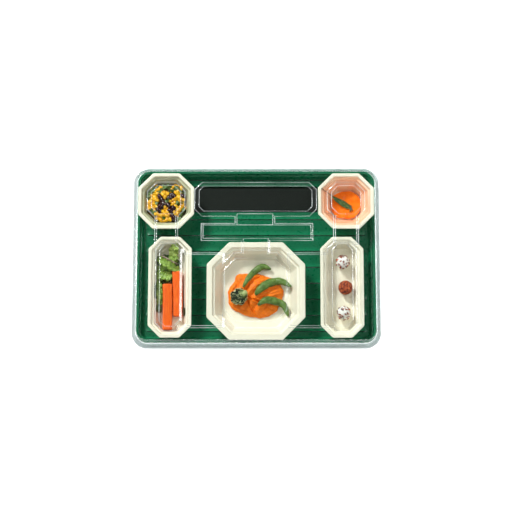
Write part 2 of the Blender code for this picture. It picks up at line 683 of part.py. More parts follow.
PUREE_LEVEL = 0.0060          # over the bowl's foot
HERB_STALK = [(0.0942, 0.0957, 0.0410), (0.0974, 0.0941, 0.0378), (0.1090, 0.0888, 0.0238)]
HERB_BLADE = [(0.1170, 0.0840, 0.0178), (0.1290, 0.0770, 0.0150), (0.1390, 0.0715, 0.0142)]
BLADE_HALVES = (0.0009, 0.0018, 0.0028, 0.0035, 0.0037, 0.0034, 0.0030, 0.0024, 0.0010)
BLADE_THICKNESS = 0.0012
STALK_WIRES = (0.0005, 0.0005, 0.0005, 0.0005, 0.0005, 0.0005, 0.0009)


def make_right_bowl_food(dish, collection, cutters):
    """A shallow pool of orange puree with a long pointed leaf laid on it, its stalk up against the wall."""
    orange = plastic("puree_orange", (0.95, 0.20, 0.01), 0.25)
    green = plastic("herb_green", (0.07, 0.18, 0.03), 0.5)
    clear = FOOD_CLEARANCE
    rings = [dish.outline(dish.floor_inset + clear, DISH_FLOOR + GAP, 0.008),
             dish.outline(dish.inner_inset(DISH_FLOOR + 0.0016) + clear, DISH_FLOOR + 0.0016, 0.009),
             dish.outline(dish.inner_inset(PUREE_LEVEL - 0.0008) + clear, PUREE_LEVEL - 0.0008, 0.010),
             dish.outline(dish.inner_inset(PUREE_LEVEL) + clear + 0.0012, PUREE_LEVEL, 0.010)]
    loft("puree", rings, orange, collection)

    stalk = smooth_path(HERB_STALK, len(STALK_WIRES))
    blade = smooth_path([stalk[-1]] + HERB_BLADE, len(BLADE_HALVES))
    thick = [BLADE_THICKNESS / 2] * len(BLADE_HALVES)
    pieces = [loft("blade", tube_rings(blade, BLADE_HALVES, thick, 8), None, cutters),
              loft("stalk", tube_rings(stalk, STALK_WIRES, [STALK_WIRES[0]] * len(stalk), 8), None, cutters)]
    fuse(pieces, "herb", green, collection, cutters)


# The right dish's food

BALLS = [((0.1246, -0.0085), "white"), ((0.1282, -0.0457), "red"), ((0.1254, -0.0827), "white")]
BALL_RADIUS = 0.0098
FLAKE_COUNT = 12
CRUMB_COUNT = 16


def make_balls(collection, cutters):
    """Three small balls in a row, the outer two stuck all over with flakes and the middle one with crumbs."""
    looks = {"white": plastic("ball_white", (0.85, 0.82, 0.76), 0.6),
             "red": plastic("ball_red", (0.40, 0.06, 0.02), 0.8)}
    for number, ((x, y), look) in enumerate(BALLS, 1):
        centre = Vector((x, y, PLATE_FLOOR_Z + GAP + BALL_RADIUS))
        ball = round_bit("ball", BALL_RADIUS, 14, 10, cutters)
        ball.location = centre
        rng = random.Random(40 + number)
        pieces = [ball]
        count = FLAKE_COUNT if look == "white" else CRUMB_COUNT
        for k in range(count):
            z = 0.97 - 1.15 * (k + 0.5) / count
            turn = k * GOLDEN_TURN + number
            ring = math.sqrt(1 - z * z)
            normal = Vector((ring * math.cos(turn), ring * math.sin(turn), z))
            if look == "white":
                flake = round_bit("flake", 0.0012 + 0.0005 * rng.random(), 5, 3, cutters, (1.0, 0.6, 0.5))
            else:
                flake = round_bit("crumb", 0.0012 + 0.0005 * rng.random(), 5, 3, cutters)
            flake.location = centre + normal * BALL_RADIUS
            flake.rotation_mode = "QUATERNION"
            flake.rotation_quaternion = normal.to_track_quat("Z", "Y")
            pieces.append(flake)
        fuse(pieces, f"ball_{number}", looks[look], collection, cutters)


def main():
    for old in list(bpy.data.objects):
        bpy.data.objects.remove(old)
    meal = bpy.data.collections.new("airline_meal_tray")
    cutters = bpy.data.collections.new("cutters")
    bpy.context.scene.collection.children.link(meal)
    bpy.context.scene.collection.children.link(cutters)

    plate = Dish("plate", (-0.0005, -0.0525), (0.0705, 0.0705), 0.0320, 0.0272, 0.0087, 0.0190)
    left = Dish("dish_left", (-0.1235, -0.0470), (0.0310, 0.0730), 0.0172, 0.0272, 0.0055, 0.0100)
    right = Dish("dish_right", (0.1227, -0.0472), (0.0310, 0.0730), 0.0172, 0.0272, 0.0055, 0.0100)
    bowl_left = Dish("bowl_left", (-0.1298, 0.0775), (0.0403, 0.0408), 0.0212, 0.0332, 0.0060, 0.0170)
    bowl_right = Dish("bowl_right", (0.1292, 0.0775), (0.0403, 0.0408), 0.0212, 0.0332, 0.0060, 0.0170)

    make_tray(meal, cutters)
    make_liner(meal)
    ivory = plastic("dish_ivory", (0.86, 0.80, 0.66), 0.3)
    for dish in (plate, left, right, bowl_left, bowl_right):
        make_dish(dish, ivory, meal)
    make_plate_food(meal, cutters)
    make_left_food(left, meal, cutters)
    make_corn_salad(bowl_left, meal, cutters)
    make_right_bowl_food(bowl_right, meal, cutters)
    make_balls(meal, cutters)
    make_lid(meal, cutters)


main()
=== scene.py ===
import math

import bmesh
import bpy
import numpy as np
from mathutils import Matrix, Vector, geometry


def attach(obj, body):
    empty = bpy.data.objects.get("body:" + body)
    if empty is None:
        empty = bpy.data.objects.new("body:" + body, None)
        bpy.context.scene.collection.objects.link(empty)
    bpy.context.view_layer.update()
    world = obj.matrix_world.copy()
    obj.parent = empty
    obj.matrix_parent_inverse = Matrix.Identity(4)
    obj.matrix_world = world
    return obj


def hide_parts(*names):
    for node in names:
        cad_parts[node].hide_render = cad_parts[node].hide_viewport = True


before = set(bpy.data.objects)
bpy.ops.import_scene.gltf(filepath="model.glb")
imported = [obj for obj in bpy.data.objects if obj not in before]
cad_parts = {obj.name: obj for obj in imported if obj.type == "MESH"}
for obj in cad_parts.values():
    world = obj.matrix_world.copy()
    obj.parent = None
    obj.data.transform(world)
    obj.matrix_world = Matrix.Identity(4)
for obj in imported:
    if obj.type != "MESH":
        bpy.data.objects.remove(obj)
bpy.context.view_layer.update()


# Camera, floor and lamps
# The view is from a little in front, about two metres above the tray. One large soft lamp stands behind on
# the left, paler ones fill the shadows, and the pale floor is lit until it is white.

AIM = Vector((-0.0004, 0.0004, 0.020))
CAMERA_DISTANCE = 2.2
CAMERA_ELEVATION = math.radians(79)

camera_data = bpy.data.cameras.new("camera")
camera_data.lens = 107.2
camera_data.sensor_width = 36
camera = bpy.data.objects.new("camera", camera_data)
sight_line = Vector((0, -math.cos(CAMERA_ELEVATION), math.sin(CAMERA_ELEVATION)))
camera.location = AIM + CAMERA_DISTANCE * sight_line
camera.rotation_euler = (math.pi / 2 - CAMERA_ELEVATION, 0, 0)
bpy.context.scene.collection.objects.link(camera)
bpy.context.scene.camera = camera
bpy.context.scene.view_settings.view_transform = "Standard"


def lamp(name, place, size, power):
    """A flat rectangular lamp at a place, turned to face the tray."""
    data = bpy.data.lights.new(name, "AREA")
    data.shape = "RECTANGLE"
    data.size, data.size_y = size
    data.energy = power
    made = bpy.data.objects.new(name, data)
    made.location = place
    made.rotation_euler = (AIM - Vector(place)).to_track_quat("-Z", "Y").to_euler()
    bpy.context.scene.collection.objects.link(made)


lamp("lamp_back_left", (-0.96, 1.28, 1.27), (0.36, 0.36), 56)
lamp("lamp_front_high", (0.10, -0.98, 1.78), (0.9, 0.5), 6.5)
lamp("lamp_left_high", (-0.98, 0.36, 1.72), (0.16, 0.42), 6.5)
lamp("lamp_right_high", (0.98, 0.36, 1.72), (0.45, 0.45), 9.0)
lamp("card_right_low", (0.60, 0.060, 0.27), (0.20, 0.20), 0.95)
lamp("card_front_low", (0.0, -0.72, 0.10), (0.70, 0.12), 2.0)


def add(tree, kind, inputs=None, **settings):
    """A new shader node. Inputs map a socket's name or number to a value or to another node's output."""
    made = tree.nodes.new("ShaderNode" + kind)
    for key, value in settings.items():
        setattr(made, key, value)
    for key, value in (inputs or {}).items():
        if isinstance(value, bpy.types.NodeSocket):
            tree.links.new(value, made.inputs[key])
        else:
            made.inputs[key].default_value = value
    return made


def ramp(tree, factor, *stops):
    """The colour that a factor picks between stops, each a place from 0 to 1 and a colour."""
    made = add(tree, "ValToRGB", {"Fac": factor})
    elements = made.color_ramp.elements
    elements.remove(elements[1])
    elements[0].position, elements[0].color = stops[0][0], (*stops[0][1], 1)
    for place, colour in stops[1:]:
        elements.new(place).color = (*colour, 1)
    return made.outputs["Color"]


def finish_with(name, look):
    """A material whose Principled shader is filled in by look(tree, shader, coordinates)."""
    material = bpy.data.materials.new(name)
    material.use_nodes = True
    tree = material.node_tree
    look(tree, tree.nodes["Principled BSDF"], add(tree, "TexCoord").outputs["Object"])
    return material


def speckle(tree, where, scale, detail=3.0, roughness=0.5):
    """Cloudy noise from 0 to 1 over the piece, with about that many clouds to the metre."""
    return add(tree, "TexNoise", {"Vector": where, "Scale": scale, "Detail": detail,
                                  "Roughness": roughness}).outputs["Fac"]


def blend(tree, share, first, second):
    """The first colour, or the second where the share is 1."""
    return add(tree, "MixRGB", {"Fac": share, 1: first, 2: second}).outputs["Color"]


world = bpy.data.worlds.new("studio")
bpy.context.scene.world = world
world.use_nodes = True
sky = world.node_tree
upward = add(sky, "SeparateXYZ", {"Vector": add(sky, "TexCoord").outputs["Generated"]}).outputs["Z"]
walls = ramp(sky, upward, (0.0, (0.22, 0.23, 0.23)), (0.45, (0.09,) * 3), (0.85, (0.015,) * 3))
seen = blend(sky, add(sky, "LightPath").outputs["Is Camera Ray"], walls, (1, 1, 1, 1))
sky.links.new(seen, sky.nodes["Background"].inputs["Color"])


def floor_look(tree, shader, where):
    """A matt white floor that glows a little, so that no edge of it shows."""
    cloud = speckle(tree, where, 3.0)
    tree.links.new(ramp(tree, cloud, (0.3, (0.88, 0.885, 0.885)), (0.7, (0.91, 0.91, 0.91))),
                   shader.inputs["Base Color"])
    shader.inputs["Roughness"].default_value = 0.6
    shader.inputs["Emission Color"].default_value = (1, 1, 1, 1)
    shader.inputs["Emission Strength"].default_value = 0.70


floor_mesh = bpy.data.meshes.new("floor")
floor_mesh.from_pydata([(-6, -6, 0), (6, -6, 0), (6, 6, 0), (-6, 6, 0)], [], [(0, 1, 2, 3)])
floor_mesh.materials.append(finish_with("floor_white", floor_look))
floor = bpy.data.objects.new("floor", floor_mesh)
bpy.context.scene.collection.objects.link(floor)


# The tray
# One injection moulding in dark green plastic: a foot ring, a sloping wall with a ledge for stacking, a
# flat rim, a floor with low non-slip ridges from side to side, and a shallow well between the two bowls.

GAP = 0.0003
TRAY_HALF = np.array((0.172, 0.126))
TRAY_CORNER = 0.017
TRAY_FLOOR_Z = 0.0055
RIDGE_ROWS = -0.107 + 0.0235 * np.arange(8)
RIDGE_HEIGHT = 0.001
RIDGE_CLIMB = 0.0066
RIDGE_DROP = 0.0012
RIDGE_END = 0.1583
RIDGE_FADE = 0.0015
WELL_CENTRE = np.array((-0.001, 0.0873))
WELL_HALF = np.array((0.0916, 0.0195))
WELL_CORNER = 0.004
WELL_DEPTH = 0.0039
WELL_EDGE = 0.0009
TRAY_UNDER_Z = 0.002
TRAY_FOOT_CORNER = 0.0012


def ease(line, reach, steps):
    """An open line with each inner corner turned into a parabola, in any number of dimensions. The curve
    leaves and rejoins its two sides at `reach` from the corner, or at 0.45 of a side that is shorter."""
    line = np.asarray(line, float)
    here, to_before, to_after = line[1:-1], line[:-2] - line[1:-1], line[2:] - line[1:-1]
    before, after = np.linalg.norm(to_before, axis=1), np.linalg.norm(to_after, axis=1)
    cut = np.minimum(reach, 0.45 * np.minimum(before, after))[:, None, None]
    u, v = (to_before / before[:, None])[:, None], (to_after / after[:, None])[:, None]
    s = np.linspace(0, 1, steps + 1)[None, :, None]
    bends = here[:, None] + cut * ((1 - s) ** 2 * u + s ** 2 * v)
    return np.concatenate([line[:1], bends.reshape(-1, line.shape[1]), line[-1:]])


def oblong_frame(side_rows, columns, corner_steps):
    """The lines of a grid that fills a rectangle with round corners. Each row has a share of the straight
    side and a unit normal, turning through a quarter circle at each corner; each column has a share of
    the row's width."""
    turn = np.linspace(0, math.pi / 2, corner_steps + 1)
    share = np.concatenate([-np.ones_like(turn), side_rows, np.ones_like(turn)])
    out_x = np.concatenate([np.sin(turn), np.ones_like(side_rows), np.cos(turn)])
    out_y = np.concatenate([-np.cos(turn), np.zeros_like(side_rows), np.sin(turn)])
    return share, out_x, out_y, np.asarray(columns, float)


def oblong_grid(lines, half, corner):
    """X and Y over the whole oblong: a smaller rectangle grown by the corner's radius, row by row."""
    share, out_x, out_y, columns = lines
    x = columns[None, :] * (half[0] - corner + corner * out_x)[:, None]
    y = ((half[1] - corner) * share + corner * out_y)[:, None]
    return x, np.broadcast_to(y, x.shape)


def oblong_loops(lines, sections):
    """Closed loops round the oblong, counter-clockwise from the lower left, one for each half length, half
    width, corner radius and height: the smaller rectangle's edge pushed out by the radius."""
    share, out_x, out_y, columns = lines
    middle = np.zeros_like(columns)
    side = np.ones_like(share)

    def around(front, right, back, left):
        """The four sides one after another, back and left turned round, with each corner once."""
        return np.concatenate([np.stack(front, 1), np.stack(right, 1)[1:], np.stack(back, 1)[-2::-1],
                               np.stack(left, 1)[-2:0:-1]])

    base = around((columns, middle - 1), (side, share), (columns, middle + 1), (-side, share))
    out = around((middle, middle - 1), (out_x, out_y), (middle, middle + 1), (-out_x, out_y))
    hx, hy, radius, z = np.asarray(sections, float).T[:, :, None]
    return np.stack([(hx - radius) * base[:, 0] + radius * out[:, 0],
                     (hy - radius) * base[:, 1] + radius * out[:, 1], z + 0 * base[:, 0]], -1)


def grid_quads(rows, columns, wrap=False):
    """Four-sided faces between neighbouring points of a grid numbered row by row."""
    i = np.arange(rows - 1)[:, None] * columns
    j = np.arange(columns if wrap else columns - 1)
    k = (j + 1) % columns
    return np.stack([i + j, i + k, i + columns + k, i + columns + j], -1).reshape(-1, 4)


def joined(*shapes):
    """Several shapes of points, four-sided faces and triangles as one."""
    starts = np.cumsum([0] + [len(s[0]) for s in shapes[:-1]])
    return tuple(np.concatenate([s[k] + (start if k else 0) for s, start in zip(shapes, starts)])
                 for k in range(3))


NO_TRIANGLES = np.zeros((0, 3), int)
WELD = 2e-6


def sheet_of(x, y, z):
    """A grid of points as a shape."""
    points = np.stack([x, y, np.broadcast_to(z, x.shape)], -1)
    return points.reshape(-1, 3), grid_quads(*x.shape), NO_TRIANGLES


def band_of(loops):
    """Closed loops joined one to the next as a shape."""
    return loops.reshape(-1, 3), grid_quads(*loops.shape[:2], wrap=True), NO_TRIANGLES


def put(name, shape, material, slot, *nodes, sharp=None):
    """Makes the piece from a shape, welds its seams, turns its faces outward and gives it to the body."""
    points, quads, triangles = shape
    mesh = bpy.data.meshes.new(name)
    mesh.from_pydata(points.tolist(), [], quads.tolist() + triangles.tolist())
    built = bmesh.new()
    built.from_mesh(mesh)
    bmesh.ops.remove_doubles(built, verts=built.verts, dist=WELD)
    bmesh.ops.recalc_face_normals(built, faces=built.faces)
    built.to_mesh(mesh)
    built.free()
    mesh.shade_smooth()
    if sharp:
        mesh.set_sharp_from_angle(angle=math.radians(sharp))
    mesh.materials.append(material)
    piece = bpy.data.objects.new(name, mesh)
    bpy.context.scene.collection.objects.link(piece)
    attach(piece, "root")
    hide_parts(*nodes)
    return piece


def settle_normals(piece):
    """Shades each flat face flat, so that only the rounded edges turn the light."""
    weighted = piece.modifiers.new("Flat faces", "WEIGHTED_NORMAL")
    weighted.weight = 100
    weighted.keep_sharp = True


def step(value):
    """A smooth rise from 0 to 1 as the value goes from 0 to 1."""
    value = np.clip(value, 0, 1)
    return value * value * (3 - 2 * value)


def well_share(x, y):
    """How far down the well's wall a point is, from 0 outside to 1 on the well's floor, by its distance
    inside a rectangle with round corners."""
    over = np.stack([np.abs(x - WELL_CENTRE[0]) - WELL_HALF[0] + WELL_CORNER,
                     np.abs(y - WELL_CENTRE[1]) - WELL_HALF[1] + WELL_CORNER])
    inside = WELL_CORNER - np.hypot(*np.maximum(over, 0)) - np.minimum(over.max(0), 0)
    return step(inside / WELL_EDGE)


def tray_floor(x, y):
    """The floor's height. Each ridge climbs for 6.6 mm from the back, as the share of that distance to the
    power 1.7, and drops over 1.2 mm in front; the well is cut out of them."""
    from_ridge = y[..., None] - RIDGE_ROWS
    width = np.where(from_ridge > 0, RIDGE_CLIMB, RIDGE_DROP)
    climb = np.clip(1 - np.abs(from_ridge) / width, 0, 1) ** 1.7
    ridges = RIDGE_HEIGHT * climb.max(-1) * step((RIDGE_END - np.abs(x)) / RIDGE_FADE)
    clear = step((np.abs(y - WELL_CENTRE[1]) - WELL_HALF[1] - 0.0005) / 0.003)
    return TRAY_FLOOR_Z + ridges * clear - WELL_DEPTH * well_share(x, y)


# Inset from the rim's outer edge and height, from the floor over the rim and down under the foot.
TRAY_LINE = [(0.0125, TRAY_FLOOR_Z), (0.0104, TRAY_FLOOR_Z), (0.0090, 0.0068), (0.0064, 0.0148),
             (0.0046, 0.0152), (0.0038, 0.0194), (0.0030, 0.0200), (0.0006, 0.0200), (0.0, 0.0195),
             (0.0, 0.0180), (0.0006, 0.0175), (0.0023, 0.0175), (0.0028, 0.0146), (0.0047, 0.0140),
             (0.0085, 0.0), (0.0165, 0.0), (0.0180, TRAY_UNDER_Z), (0.0200, TRAY_UNDER_Z)]
inset, level = np.array(TRAY_LINE).T
tray_sections = np.stack([TRAY_HALF[0] - inset, TRAY_HALF[1] - inset,
                          np.maximum(TRAY_CORNER - inset, TRAY_FOOT_CORNER), level], 1)
floor_half = TRAY_HALF - inset[0]
straight = floor_half[1] - (TRAY_CORNER - inset[0])
ridge_steps = np.array((-1.4, -1.1, -0.8, -0.5, -0.25, 0, 0.6, 1.4, 2.4, 3.6, 4.8, 6.4)) / 1000
ridge_lines = RIDGE_ROWS[:, None] + ridge_steps
edge_lines = np.array((-4.2, -3.4, -2.6, -1.9, -1.3, -0.9, -0.6, -0.3, 0, 0.5)) / 1000
side_rows = np.concatenate([ridge_lines.ravel(), WELL_CENTRE[1] + WELL_HALF[1] + edge_lines,
                            WELL_CENTRE[1] - WELL_HALF[1] - edge_lines,
                            np.linspace(-0.1, 0.1, 21)]) / straight
side_rows = np.unique(np.round(side_rows[np.abs(side_rows) < 0.995], 5))
columns = np.concatenate([WELL_CENTRE[0] + WELL_HALF[0] + edge_lines,
                          WELL_CENTRE[0] - WELL_HALF[0] - edge_lines,
                          np.linspace(-1, 1, 25) * (floor_half[0] - 0.004),
                          (-RIDGE_END, -RIDGE_END + 0.0008, RIDGE_END - 0.0008, RIDGE_END)]) / floor_half[0]
columns = np.unique(np.round(np.concatenate([columns, (-1, 1)]), 5))
tray_lines = oblong_frame(side_rows, columns, 10)

top_x, top_y = oblong_grid(tray_lines, floor_half, TRAY_CORNER - inset[0])
foot_x, foot_y = oblong_grid(tray_lines, TRAY_HALF - inset[-1], TRAY_FOOT_CORNER)
under_well = well_share(WELL_CENTRE[0] + (foot_x - WELL_CENTRE[0]) * 0.97,
                        WELL_CENTRE[1] + (foot_y - WELL_CENTRE[1]) * 0.87)
tray_shape = joined(sheet_of(top_x, top_y, tray_floor(top_x, top_y)),
                    band_of(oblong_loops(tray_lines, ease(tray_sections, 0.0006, 3))),
                    sheet_of(foot_x, foot_y, TRAY_UNDER_Z - 0.0019 * under_well))


def span(tree, value, source, target):
    """A value moved evenly from one range to another and held at its ends."""
    return add(tree, "MapRange", {"Value": value, "From Min": source[0], "From Max": source[1],
                                  "To Min": target[0], "To Max": target[1]}).outputs["Result"]


def relief(tree, shader, height, strength, distance):
    """Fine unevenness too small for the mesh, from a height between 0 and 1."""
    bump = add(tree, "Bump", {"Height": height, "Strength": strength, "Distance": distance})
    tree.links.new(bump.outputs["Normal"], shader.inputs["Normal"])


def tray_look(tree, shader, where):
    """Glossy dark green with a faint mottle and the fine grain of the mould, with painted shade down the
    front of each ridge and a painted highlight up its back."""
    shade = speckle(tree, where, 26, 5, 0.6)
    green = ramp(tree, shade, (0.25, (0.0009, 0.112, 0.046)), (0.75, (0.0016, 0.134, 0.056)))
    # Painted shade and painted highlight: the floor's green is scaled by its normal's Y, darker on faces to
    # the front.
    slope = add(tree, "SeparateXYZ", {"Vector": add(tree, "NewGeometry").outputs["Normal"]}).outputs["Y"]
    height = add(tree, "SeparateXYZ", {"Vector": where}).outputs["Z"]
    tone = span(tree, slope, (-0.4, 0.3), (0.25, 1.55))
    low = add(tree, "Math", {0: height, 1: TRAY_FLOOR_Z + 0.0011}, operation="LESS_THAN").outputs["Value"]
    ridge_painted_shade = add(tree, "VectorMath", {0: green, "Scale": tone}, operation="SCALE").outputs["Vector"]
    tree.links.new(blend(tree, low, green, ridge_painted_shade), shader.inputs["Base Color"])
    scuffs = speckle(tree, where, 220, 4, 0.6)
    tree.links.new(ramp(tree, scuffs, (0.3, (0.26,) * 3), (0.75, (0.32,) * 3)), shader.inputs["Roughness"])
    relief(tree, shader, speckle(tree, where, 1500, 2), 0.04, 0.0001)


settle_normals(put("tray_moulding", tray_shape, finish_with("tray_green", tray_look), "tray", "tray"))


# The well's liner
# A near-black sheet cut to the well's shape, which it lies flat in, with the faint grain of felted paper.
# It is thin and loose, and nothing holds it.

LINER_CORNER = 0.0032
LINER_THICKNESS = 0.0008
liner_half = WELL_HALF - 0.0011
liner_lines = oblong_frame(np.linspace(-0.95, 0.95, 13), np.linspace(-1, 1, 49), 6)
liner_x, liner_y = oblong_grid(liner_lines, liner_half, LINER_CORNER)
liner_x, liner_y = liner_x + WELL_CENTRE[0], liner_y + WELL_CENTRE[1]
liner_low = TRAY_FLOOR_Z - WELL_DEPTH + GAP
liner_top = liner_low + LINER_THICKNESS
liner_loops = oblong_loops(liner_lines, [(*liner_half, LINER_CORNER, z) for z in (liner_low, liner_top)])
liner_shape = joined(sheet_of(liner_x, liner_y, liner_low), band_of(liner_loops + (*WELL_CENTRE, 0)),
                     sheet_of(liner_x, liner_y, liner_top))


def mottled(name, grain, *stops, rough, specular=0.5, bumps=None):
    """A material whose colour wanders between its stops with cloudy noise of a scale, detail and
    roughness. The bumps are a strength and a depth, and may have a scale and detail of their own."""
    def look(tree, shader, where):
        tone = speckle(tree, where, *grain)
        tree.links.new(ramp(tree, tone, *stops), shader.inputs["Base Color"])
        shader.inputs["Roughness"].default_value = rough
        shader.inputs["Specular IOR Level"].default_value = specular
        if bumps:
            strength, depth, *own = bumps
            relief(tree, shader, speckle(tree, where, *own) if own else tone, strength, depth)
    return finish_with(name, look)


felt = mottled("liner_black", (700, 6, 0.7), (0.3, (0.0035, 0.0055, 0.004)),
               (0.8, (0.012, 0.016, 0.012)), rough=0.8, specular=0.2, bumps=(0.3, 0.0003))
put("well_liner_sheet", liner_shape, felt, "well_liner", "well_liner", sharp=40)


# The dishes
# Five dishes moulded in ivory plastic, each an octagon with long or equal sides: a foot, a sloping wall, a
# flat rim with a turned-down edge, a ledge just inside it, and a flat floor.

DISH_Z = TRAY_FLOOR_Z + RIDGE_HEIGHT + GAP
DISH_FLOOR = 0.002
PLATE_FLOOR_Z = DISH_Z + DISH_FLOOR


def tube(rings):
    """A closed skin over a run of rings: neighbours joined by four-sided faces, and each end closed by a
    fan to the mean of its ring."""
    count, sides = rings.shape[:2]
    here = np.arange(sides)
    after = np.roll(here, -1)
    far = (count - 1) * sides
    fans = np.concatenate([np.stack([after, here, 0 * here + count * sides], -1),
                           np.stack([far + here, far + after, 0 * here + count * sides + 1], -1)])
    points = np.concatenate([rings.reshape(-1, 3), rings[0].mean(0)[None], rings[-1].mean(0)[None]])
    return points, grid_quads(count, sides, wrap=True), fans


class Dish:
    """One dish: its rim's middle and half size, the cut at its corners, its height, the flat lip's width
    and how far its foot stands in from the rim."""

    def __init__(self, name, centre, half, cut, height, lip, foot):
        self.name, self.centre, self.half, self.cut = name, centre, half, cut
        self.height, self.lip, self.foot = height, lip, foot
        self.wall_top = np.array((lip + 0.0038, height - 0.005))
        self.wall_foot = np.array((foot + 0.0016, DISH_FLOOR + 0.0014))

    def inner_inset(self, z):
        """How far the inner wall stands in from the rim's edge, at a height above the foot."""
        share = np.clip((z - self.wall_foot[1]) / (self.wall_top[1] - self.wall_foot[1]), 0, 1)
        return self.wall_foot[0] * (1 - share) + self.wall_top[0] * share

    def rings(self, line, reach):
        """Octagons with eased corners, one for each pair of inset and height. A corner moves in along its
        mitre, so the cut corner shortens by 2 - root 2 of the inset. Each corner is a parabola of that
        reach, with one more point 1.8 reaches away on either side."""
        inset, z = np.asarray(line, float).T[:, :, None]
        hx, hy, cut = self.half[0] - inset, self.half[1] - inset, self.cut - inset * (2 - math.sqrt(2))
        sign_x = np.array((1, 1, 1, 1, -1, -1, -1, -1))
        sign_y = np.array((-1, -1, 1, 1, 1, 1, -1, -1))
        on_side = np.array((0, 1, 1, 0, 0, 1, 1, 0))
        corners = np.stack([sign_x * (hx - cut * (1 - on_side)), sign_y * (hy - cut * on_side)], -1)
        u, v = np.roll(corners, 1, 1) - corners, np.roll(corners, -1, 1) - corners
        u, v = (w / np.linalg.norm(w, axis=2, keepdims=True) for w in (u, v))
        s = np.linspace(0, 1, 5)
        back = np.concatenate([[1.8], (1 - s) ** 2, [0]])[:, None]
        ahead = np.concatenate([[0], s ** 2, [1.8]])[:, None]
        reach = np.broadcast_to(np.asarray(reach, float).reshape(-1, 1, 1, 1), (len(z), 1, 1, 1))
        flat = corners[:, :, None] + reach * (back * u[:, :, None] + ahead * v[:, :, None])
        flat = flat.reshape(len(z), -1, 2) + self.centre
        return np.concatenate([flat, np.broadcast_to(DISH_Z + z[:, :, None], (*flat.shape[:2], 1))], -1)


def dish_shape(dish):
    """The dish's section, from the middle of its foot up the outside, over the rim and down to the middle
    of its floor, carried round its octagon."""
    top, foot, lip = dish.height, dish.foot, dish.lip
    shelf = dish.wall_top * 0.42 + dish.wall_foot * 0.58
    line = [(foot + 0.004, 0.0006), (foot + 0.0012, 0.0006), (foot + 0.0006, 0), (foot, 0),
            (foot - 0.0006, 0.0012), (lip - 0.0010, top - 0.0028), (lip - 0.0014, top - 0.0012),
            (0.0008, top - 0.0012), (0.0006, top - 0.0022), (0, top - 0.0022), (0, top - 0.0006),
            (0.0007, top), (lip - 0.0006, top - 0.0002), (lip, top - 0.0009), (lip + 0.0012, top - 0.0044),
            dish.wall_top, shelf + (-0.0001, 0.0004), shelf + (0.0005, 0.0001), dish.wall_foot,
            (foot + 0.0030, DISH_FLOOR), (foot + 0.0055, DISH_FLOOR)]
    line = ease(line, 0.0005, 3)
    reach = np.interp(line[:, 0], (0, foot, foot + 0.005), (0.0016, 0.0022, 0.0026))
    rings = dish.rings(line, reach)
    middle = np.array(dish.centre)
    shares = np.array((0.7, 0.4, 0.15))[:, None, None]
    under, floor = (np.concatenate([middle + (ring[None, :, :2] - middle) * shares,
                                    np.broadcast_to(ring[None, :, 2:], (3, len(ring), 1))], -1)
                    for ring in (rings[0], rings[-1]))
    return tube(np.concatenate([under[::-1], rings, floor]))


def dish_look(tree, shader, where):
    """Ivory plastic, satin, with a barely seen mottle and tiny pits."""
    cloud = speckle(tree, where, 60, 4, 0.6)
    tree.links.new(ramp(tree, cloud, (0.3, (0.83, 0.775, 0.62)), (0.7, (0.88, 0.83, 0.69))),
                   shader.inputs["Base Color"])
    tree.links.new(ramp(tree, speckle(tree, where, 350, 3), (0.3, (0.28,) * 3), (0.7, (0.4,) * 3)),
                   shader.inputs["Roughness"])
    relief(tree, shader, speckle(tree, where, 1200, 2), 0.06, 0.0001)


plate = Dish("plate", (-0.0005, -0.0525), (0.0705, 0.0705), 0.0320, 0.0272, 0.0080, 0.0190)
left_dish = Dish("dish_left", (-0.1235, -0.0470), (0.0310, 0.0730), 0.0172, 0.0272, 0.0045, 0.0100)
right_dish = Dish("dish_right", (0.1227, -0.0472), (0.0310, 0.0730), 0.0172, 0.0272, 0.0045, 0.0100)
left_bowl = Dish("bowl_left", (-0.1298, 0.0775), (0.0403, 0.0408), 0.0212, 0.0332, 0.0047, 0.0170)
right_bowl = Dish("bowl_right", (0.1292, 0.0775), (0.0403, 0.0408), 0.0212, 0.0332, 0.0047, 0.0170)


def product(tree, first, second):
    """Two values multiplied."""
    return add(tree, "Math", {0: first, 1: second}, operation="MULTIPLY").outputs[0]


def bounce_painted_look(bounce_tint):
    """The same ivory plastic with painted bounce light and painted shade on the inner wall: tinted towards
    the food's colour, thinner in patches.
    """
    def look(tree, shader, where):
        dish_look(tree, shader, where)
        bounce_patches = span(tree, speckle(tree, where, 70, 4), (0.3, 0.65), (0.45, 0.9))
        share = product(tree, add(tree, "Attribute", attribute_name="inner_wall").outputs["Fac"], bounce_patches)
        plain = shader.inputs["Base Color"].links[0].from_socket
        tree.links.new(blend(tree, share, plain, (*bounce_tint, 1)), shader.inputs["Base Color"])
    return look


def read_points(piece, what):
    """The place ("co") or the normal ("normal") of each point of a piece's mesh."""
    values = np.empty(len(piece.data.vertices) * 3)
    piece.data.vertices.foreach_get(what, values)
    return values.reshape(-1, 3)


def mark_points(piece, name, values):
    """Stores a value from 0 to 1 at each point of a piece's mesh, for its material to read."""
    piece.data.attributes.new(name, "FLOAT", "POINT").data.foreach_set("value", values)


def mark_inner_wall(piece, dish):
    """Marks the points where the surface leans in towards the dish's middle with a share that rises to 1
    over 2 mm, from 2.2 mm under the rim: where the painted bounce light and shade go."""
    spots = read_points(piece, "co")
    toward = ((np.array(dish.centre) - spots[:, :2]) * read_points(piece, "normal")[:, :2]).sum(1)
    height = np.clip((DISH_Z + dish.height - 0.0022 - spots[:, 2]) / 0.002, 0, 1)
    mark_points(piece, "inner_wall", np.where(toward > 0.002, height, 0))


ivory = finish_with("dish_ivory", dish_look)
for dish in (plate, left_dish, right_dish):
    settle_normals(put(dish.name + "_moulding", dish_shape(dish), ivory, "dish", dish.name))
